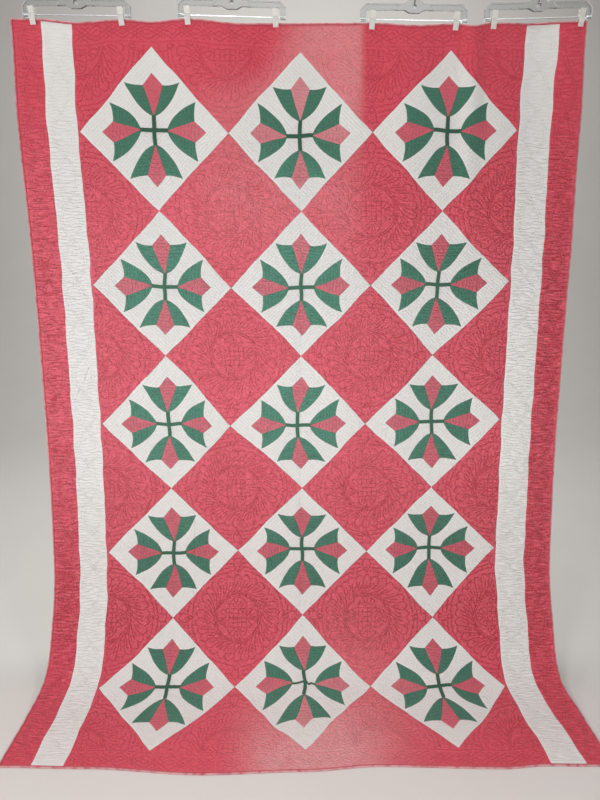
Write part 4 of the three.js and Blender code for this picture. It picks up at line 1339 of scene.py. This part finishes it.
def binding():
    """A closed folded strip round the edge, its section set in at each station."""
    stations = list(edge_stations())
    count = len(stations)
    widths, heights, worn = np.array(BINDING_SECTION).T
    sides = len(widths)
    flat = np.concatenate([place + np.outer(widths, inwards) for place, inwards in stations])
    rings = np.arange(count * sides).reshape(count, sides)
    beside = np.roll(rings, -1, axis=1)
    quads = np.stack([rings, beside, np.roll(beside, -1, axis=0), np.roll(rings, -1, axis=0)], -1)
    along = np.repeat(np.arange(count) * BINDING_STEP, sides)
    around = np.tile(np.arange(sides) * BINDING_GIRTH, count)
    maps = {"cloth": np.stack([along, around], 1) * MM}
    points = drape(flat, np.tile(heights, count))
    strip = make_mesh("binding_strip", points, quads.reshape(-1, 4), [binding_material()], maps)
    set_values(strip.data, "worn", np.tile(worn, count))
    return strip


# Green stems: two folded strips crossing in each block, from tulip base to tulip base.
STEM_HALF = 6.0
STEM_REACH = 0.185
STEM_SECTION = ((-1, 0.0), (-0.85, 0.9), (-0.4, 1.25), (0.4, 1.25), (0.85, 0.9), (1, 0.0))
STEM_LAP = 1.1
STEM_LAP_SHARE = 0.31
STEM_CLEAR = 0.7
STEM_POINTS = 25
STEM_SWAY = 1.2
STEM_BENDS = 3.0
# One block's stems are crooked, and its side stem is worn thin and knotted.
CROOKED_BLOCK = 13
CROOKED_SWAY = 4.0
WORN_STEM = {"half": 3.6, "knot": 8.0, "place": 0.42, "spread": 0.15}


def stem_strip(middle, way, lap, sway, worn):
    """Flat points and heights of one strip, as rows across it."""
    share = np.linspace(-1, 1, STEM_POINTS)
    aside = np.array((-way[1], way[0]))
    half = STEM_HALF
    bend = sway * np.sin(STEM_BENDS * share + sway)
    if worn:
        half = WORN_STEM["half"]
        bend = bend + WORN_STEM["knot"] * bell((share - WORN_STEM["place"]) / WORN_STEM["spread"])
    line = middle + HALF_DIAGONALS * STEM_REACH * np.outer(share, way) + np.outer(bend, aside)
    hump = SEAM_THICK + STEM_CLEAR + lap * bell(share / STEM_LAP_SHARE)
    rows = [line + aside * half * across for across, _ in STEM_SECTION]
    heights = [hump + high for _, high in STEM_SECTION]
    return np.stack(rows, 1).reshape(-1, 2), np.stack(heights, 1).ravel()


def stems(quilted):
    strips = []
    for number, middle in enumerate(BLOCKS):
        for way, lap in (((1.0, 0.0), 0.0), ((0.0, 1.0), STEM_LAP)):
            crooked = number == CROOKED_BLOCK
            sway = CROOKED_SWAY if crooked else rng.uniform(-STEM_SWAY, STEM_SWAY)
            strips.append(stem_strip(middle, way, lap, sway, crooked and lap == 0))
    flat, heights = (np.concatenate(column) for column in zip(*strips))
    width = len(STEM_SECTION)
    grid = np.arange(STEM_POINTS * width).reshape(STEM_POINTS, width)
    quads = np.stack([grid[:-1, :-1], grid[:-1, 1:], grid[1:, 1:], grid[1:, :-1]], -1).reshape(-1, 4)
    faces = np.concatenate([quads + strip * grid.size for strip in range(len(strips))])
    points = drape(stray(flat), heights + quilted.rise_at(flat))
    return make_mesh("tulip_stems", points, faces, [cloth_material("stem_green")], {"cloth": cloth_map(flat)})


# Running stitches along the quilting: spindles of thread half sunk in the grooves, sizes in millimetres.
STITCH_PITCH = 6.0
STITCH_SIZES = {"Length": 3.4, "Width": 0.9, "Height": 0.7}
STITCH_EVEN = (0.8, 1.0)
STITCH_SEED = 5
STITCH_SPINDLE = {"Segments": 3, "Rings": 2, "Radius": 0.5}
STITCH_LIFT = 0.1
OUTWARD_STEP = 1.0  # a step that finds the way out of the cloth
# Each point of a stitch on its own tile of the map: one end, the three sides and the other end.
STITCH_TILE = ((0.5, 0.95), (0.1, 0.5), (0.5, 0.5), (0.9, 0.5), (0.5, 0.05))
# The lines that each piece of stitches follows, and its thread.
STITCHED = {
    "wreath_stitches": (("red",), "red_thread"),
    "bar_stitches": (("bar",), "red_thread"),
    "ground_stitches": (("white", "white_cable"), "pale_thread"),
    "tulip_stitches": (("tulip",), "grey_thread"),
}


def stitch_tree():
    """Geometry nodes that set a spindle of thread on each point, along the point's own way."""
    tree = bpy.data.node_groups.new("Running stitches", "GeometryNodeTree")
    sockets = {"Geometry": "Geometry", **dict.fromkeys(STITCH_SIZES, "Float")}
    sockets.update(Seed="Int", Thread="Material")
    for name, kind in sockets.items():
        tree.interface.new_socket(name, in_out="INPUT", socket_type="NodeSocket" + kind)
    tree.interface.new_socket("Geometry", in_out="OUTPUT", socket_type="NodeSocketGeometry")
    graph = Graph(tree)
    inputs = graph.add("NodeGroupInput").outputs
    spindle = graph.add("GeometryNodeMeshUVSphere", STITCH_SPINDLE).outputs["Mesh"]
    uneven = graph.add("FunctionNodeRandomValue", {"Seed": inputs["Seed"]}, data_type="FLOAT")
    graph.fill(uneven, dict(zip(RANDOM_SOCKETS, STITCH_EVEN)))
    length = graph.math("MULTIPLY", inputs["Length"], uneven.outputs[1])
    sizes = {"X": inputs["Height"], "Y": inputs["Width"], "Z": length}
    scale = graph.add("ShaderNodeCombineXYZ", sizes).outputs[0]
    turn = graph.add("FunctionNodeAxesToRotation", primary_axis="Z", secondary_axis="X")
    for socket, name in zip(turn.inputs, ("way", "out")):
        axis = graph.add("GeometryNodeInputNamedAttribute", {"Name": name}, data_type="FLOAT_VECTOR")
        graph.put(socket, axis.outputs["Attribute"])
    points = graph.add("GeometryNodeMeshToPoints", {"Mesh": inputs["Geometry"]}).outputs[0]
    placing = {"Points": points, "Instance": spindle, "Rotation": turn.outputs[0], "Scale": scale}
    placed = graph.add("GeometryNodeInstanceOnPoints", placing).outputs[0]
    whole = graph.add("GeometryNodeRealizeInstances", {"Geometry": placed}).outputs[0]
    threaded = graph.add("GeometryNodeSetMaterial", {"Geometry": whole, "Material": inputs["Thread"]})
    graph.add("NodeGroupOutput", {0: threaded.outputs[0]})
    return tree


def stitch_places(lines):
    """Middles, ways and outward directions of the stitches along flat lines."""
    paths = [paced(line, STITCH_PITCH) for line in lines]
    starts = np.concatenate([path[:-1] for path in paths])
    ends = np.concatenate([path[1:] for path in paths])
    height = SEAM_THICK + STITCH_LIFT - crease_depth((starts + ends) / 2)
    starts, ends = stray(starts), stray(ends)
    middle = (starts + ends) / 2
    places = drape(middle, height)
    ways = drape(ends, height) - drape(starts, height)
    outs = drape(middle, height + OUTWARD_STEP) - places
    return places, ways, outs


def stitches(name, lines, thread, tree):
    """One mesh of stitches, with a tile of its map for each."""
    places, ways, outs = stitch_places(lines)
    mesh = bpy.data.meshes.new(name)
    mesh.from_pydata(places.tolist(), [], [])
    set_values(mesh, "way", ways, "FLOAT_VECTOR")
    set_values(mesh, "out", outs, "FLOAT_VECTOR")
    holder = link(name + "_points", mesh)
    modifier = holder.modifiers.new("stitches", "NODES")
    modifier.node_group = tree
    settings = {size: value * MM for size, value in STITCH_SIZES.items()}
    settings.update(Seed=STITCH_SEED, Thread=thread)
    for socket in tree.interface.items_tree:
        if socket.name in settings:
            modifier[socket.identifier] = settings[socket.name]
    sewn = bpy.data.meshes.new_from_object(holder.evaluated_get(bpy.context.evaluated_depsgraph_get()))
    holder.modifiers.clear()
    bpy.data.objects.remove(holder)
    shade_smooth(sewn)
    number = np.arange(len(places))
    tiles = math.ceil(math.sqrt(len(places)))
    corner = np.stack([number % tiles, number // tiles], 1)
    set_map(sewn, "OFBake", (corner[:, None] + np.array(STITCH_TILE)).reshape(-1, 2) / tiles)
    return link(name, sewn)


def all_stitches(quilted):
    tree = stitch_tree()
    threads = {name: thread_material(name) for name in THREADS}
    pieces = []
    for name, (kinds, thread) in STITCHED.items():
        pieces.append(stitches(name, quilted.sewing.of(*kinds), threads[thread], tree))
    return pieces


def dress_hangers():
    finishes = {
        "body": clear_plastic(),
        "hook": metal("hook_wire"),
        "rod": metal("rod_wire"),
        "clip": metal("clip_plate"),
    }
    for name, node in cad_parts.items():
        for part, finish in finishes.items():
            if f"_{part}" in name:
                node.data.materials.clear()
                node.data.materials.append(finish)


# The photograph's camera: its place in metres, its turn in degrees and its lens in millimetres.
CAMERA_PLACE = (-0.023, -1.6874, 1.4308)
CAMERA_LEVEL = 90.0  # up from looking straight down
CAMERA_DOWN = 14.48
CAMERA_RIGHT = 0.42
CAMERA_LENS = 27.0


def add_camera():
    camera = link("camera", bpy.data.cameras.new("camera"))
    camera.data.lens = CAMERA_LENS
    camera.location = CAMERA_PLACE
    camera.rotation_euler = Euler((math.radians(CAMERA_LEVEL - CAMERA_DOWN), 0, math.radians(-CAMERA_RIGHT)))
    bpy.context.scene.camera = camera


LAMPS = (
    {"name": "key", "place": (-0.53, -1.4, 1.08), "aim": (-0.48, 0.3, 1.08), "size": 0.5, "power": 15.9},
    {"name": "fill", "place": (0.75, -1.4, 0.99), "aim": (0.65, 0.3, 0.99), "size": 0.5, "power": 12.5},
    {"name": "side", "place": (-2.9, -1.2, 1.3), "aim": (-0.2, 0.3, 1.1), "size": 0.6, "power": 25},
    {"name": "sweep", "place": (0.0, 1.3, 3.3), "aim": (0, 3.6, 0.5), "size": 3.0, "power": 85},
)
LAMP_TINT = (1.0, 0.985, 0.965)
SKY_TINT = (1.0, 0.985, 0.97, 1)
SKY_STRENGTH = 0.13


def add_lamps():
    for row in LAMPS:
        lamp = link(row["name"], bpy.data.lights.new(row["name"], "AREA"))
        lamp.data.size = row["size"]
        lamp.data.energy = row["power"]
        lamp.data.color = LAMP_TINT
        lamp.location = row["place"]
        way = Vector(row["aim"]) - Vector(row["place"])
        lamp.rotation_euler = way.to_track_quat("-Z", "Y").to_euler()
    world = bpy.data.worlds.new("studio")
    world.use_nodes = True
    sky = {"Color": SKY_TINT, "Strength": SKY_STRENGTH}
    Graph(world.node_tree).fill(world.node_tree.nodes["Background"], sky)
    bpy.context.scene.world = world


FLOOR_TINT = (226, 224, 221)
FLOOR_DULLED = 0.97
FLOOR_CLOUDS = 3.0
FLOOR_ROUGHNESS = 0.9
FLOOR_HALF = 7.0
SWEEP_START = 2.6
SWEEP_RADIUS = 1.6
SWEEP_TOP = 5.0
SWEEP_STEPS = 13


def add_floor():
    """A pale floor that sweeps up behind."""
    profile = [(-FLOOR_HALF, 0.0)]
    for turn in np.linspace(0, np.pi / 2, SWEEP_STEPS):
        profile.append((SWEEP_START + SWEEP_RADIUS * math.sin(turn), SWEEP_RADIUS * (1 - math.cos(turn))))
    profile.append((SWEEP_START + SWEEP_RADIUS, SWEEP_TOP))
    points = [(side * FLOOR_HALF, y, z) for y, z in profile for side in (-1, 1)]
    faces = [(2 * row, 2 * row + 1, 2 * row + 3, 2 * row + 2) for row in range(len(profile) - 1)]
    material, graph, shader = new_material("floor")
    clouds = graph.noise(graph.object_place(), FLOOR_CLOUDS)
    tint = mottled(graph, clouds, FLOOR_TINT, FLOOR_DULLED)
    graph.fill(shader, {"Base Color": tint, "Roughness": FLOOR_ROUGHNESS})
    make_mesh("floor", points, faces, [material])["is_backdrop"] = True


def dress_quilt():
    quilted = Quilted()
    top = quilt_top(quilted)
    backing = quilt_backing(quilted)
    strip = binding()
    stalks = stems(quilted)
    pieces = [top, backing, strip, stalks, *all_stitches(quilted)]
    for piece in pieces:
        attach(piece, "root")
    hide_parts("quilt")
    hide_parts(*[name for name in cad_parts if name.startswith("binding")])
    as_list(pieces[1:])


add_camera()
add_lamps()
add_floor()
bpy.context.scene.view_settings.view_transform = "Standard"
dress_hangers()
dress_quilt()

boxes = {"cad": cad_box, "visual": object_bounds()}
{name: [list(corner) for corner in box] for name, box in boxes.items()}
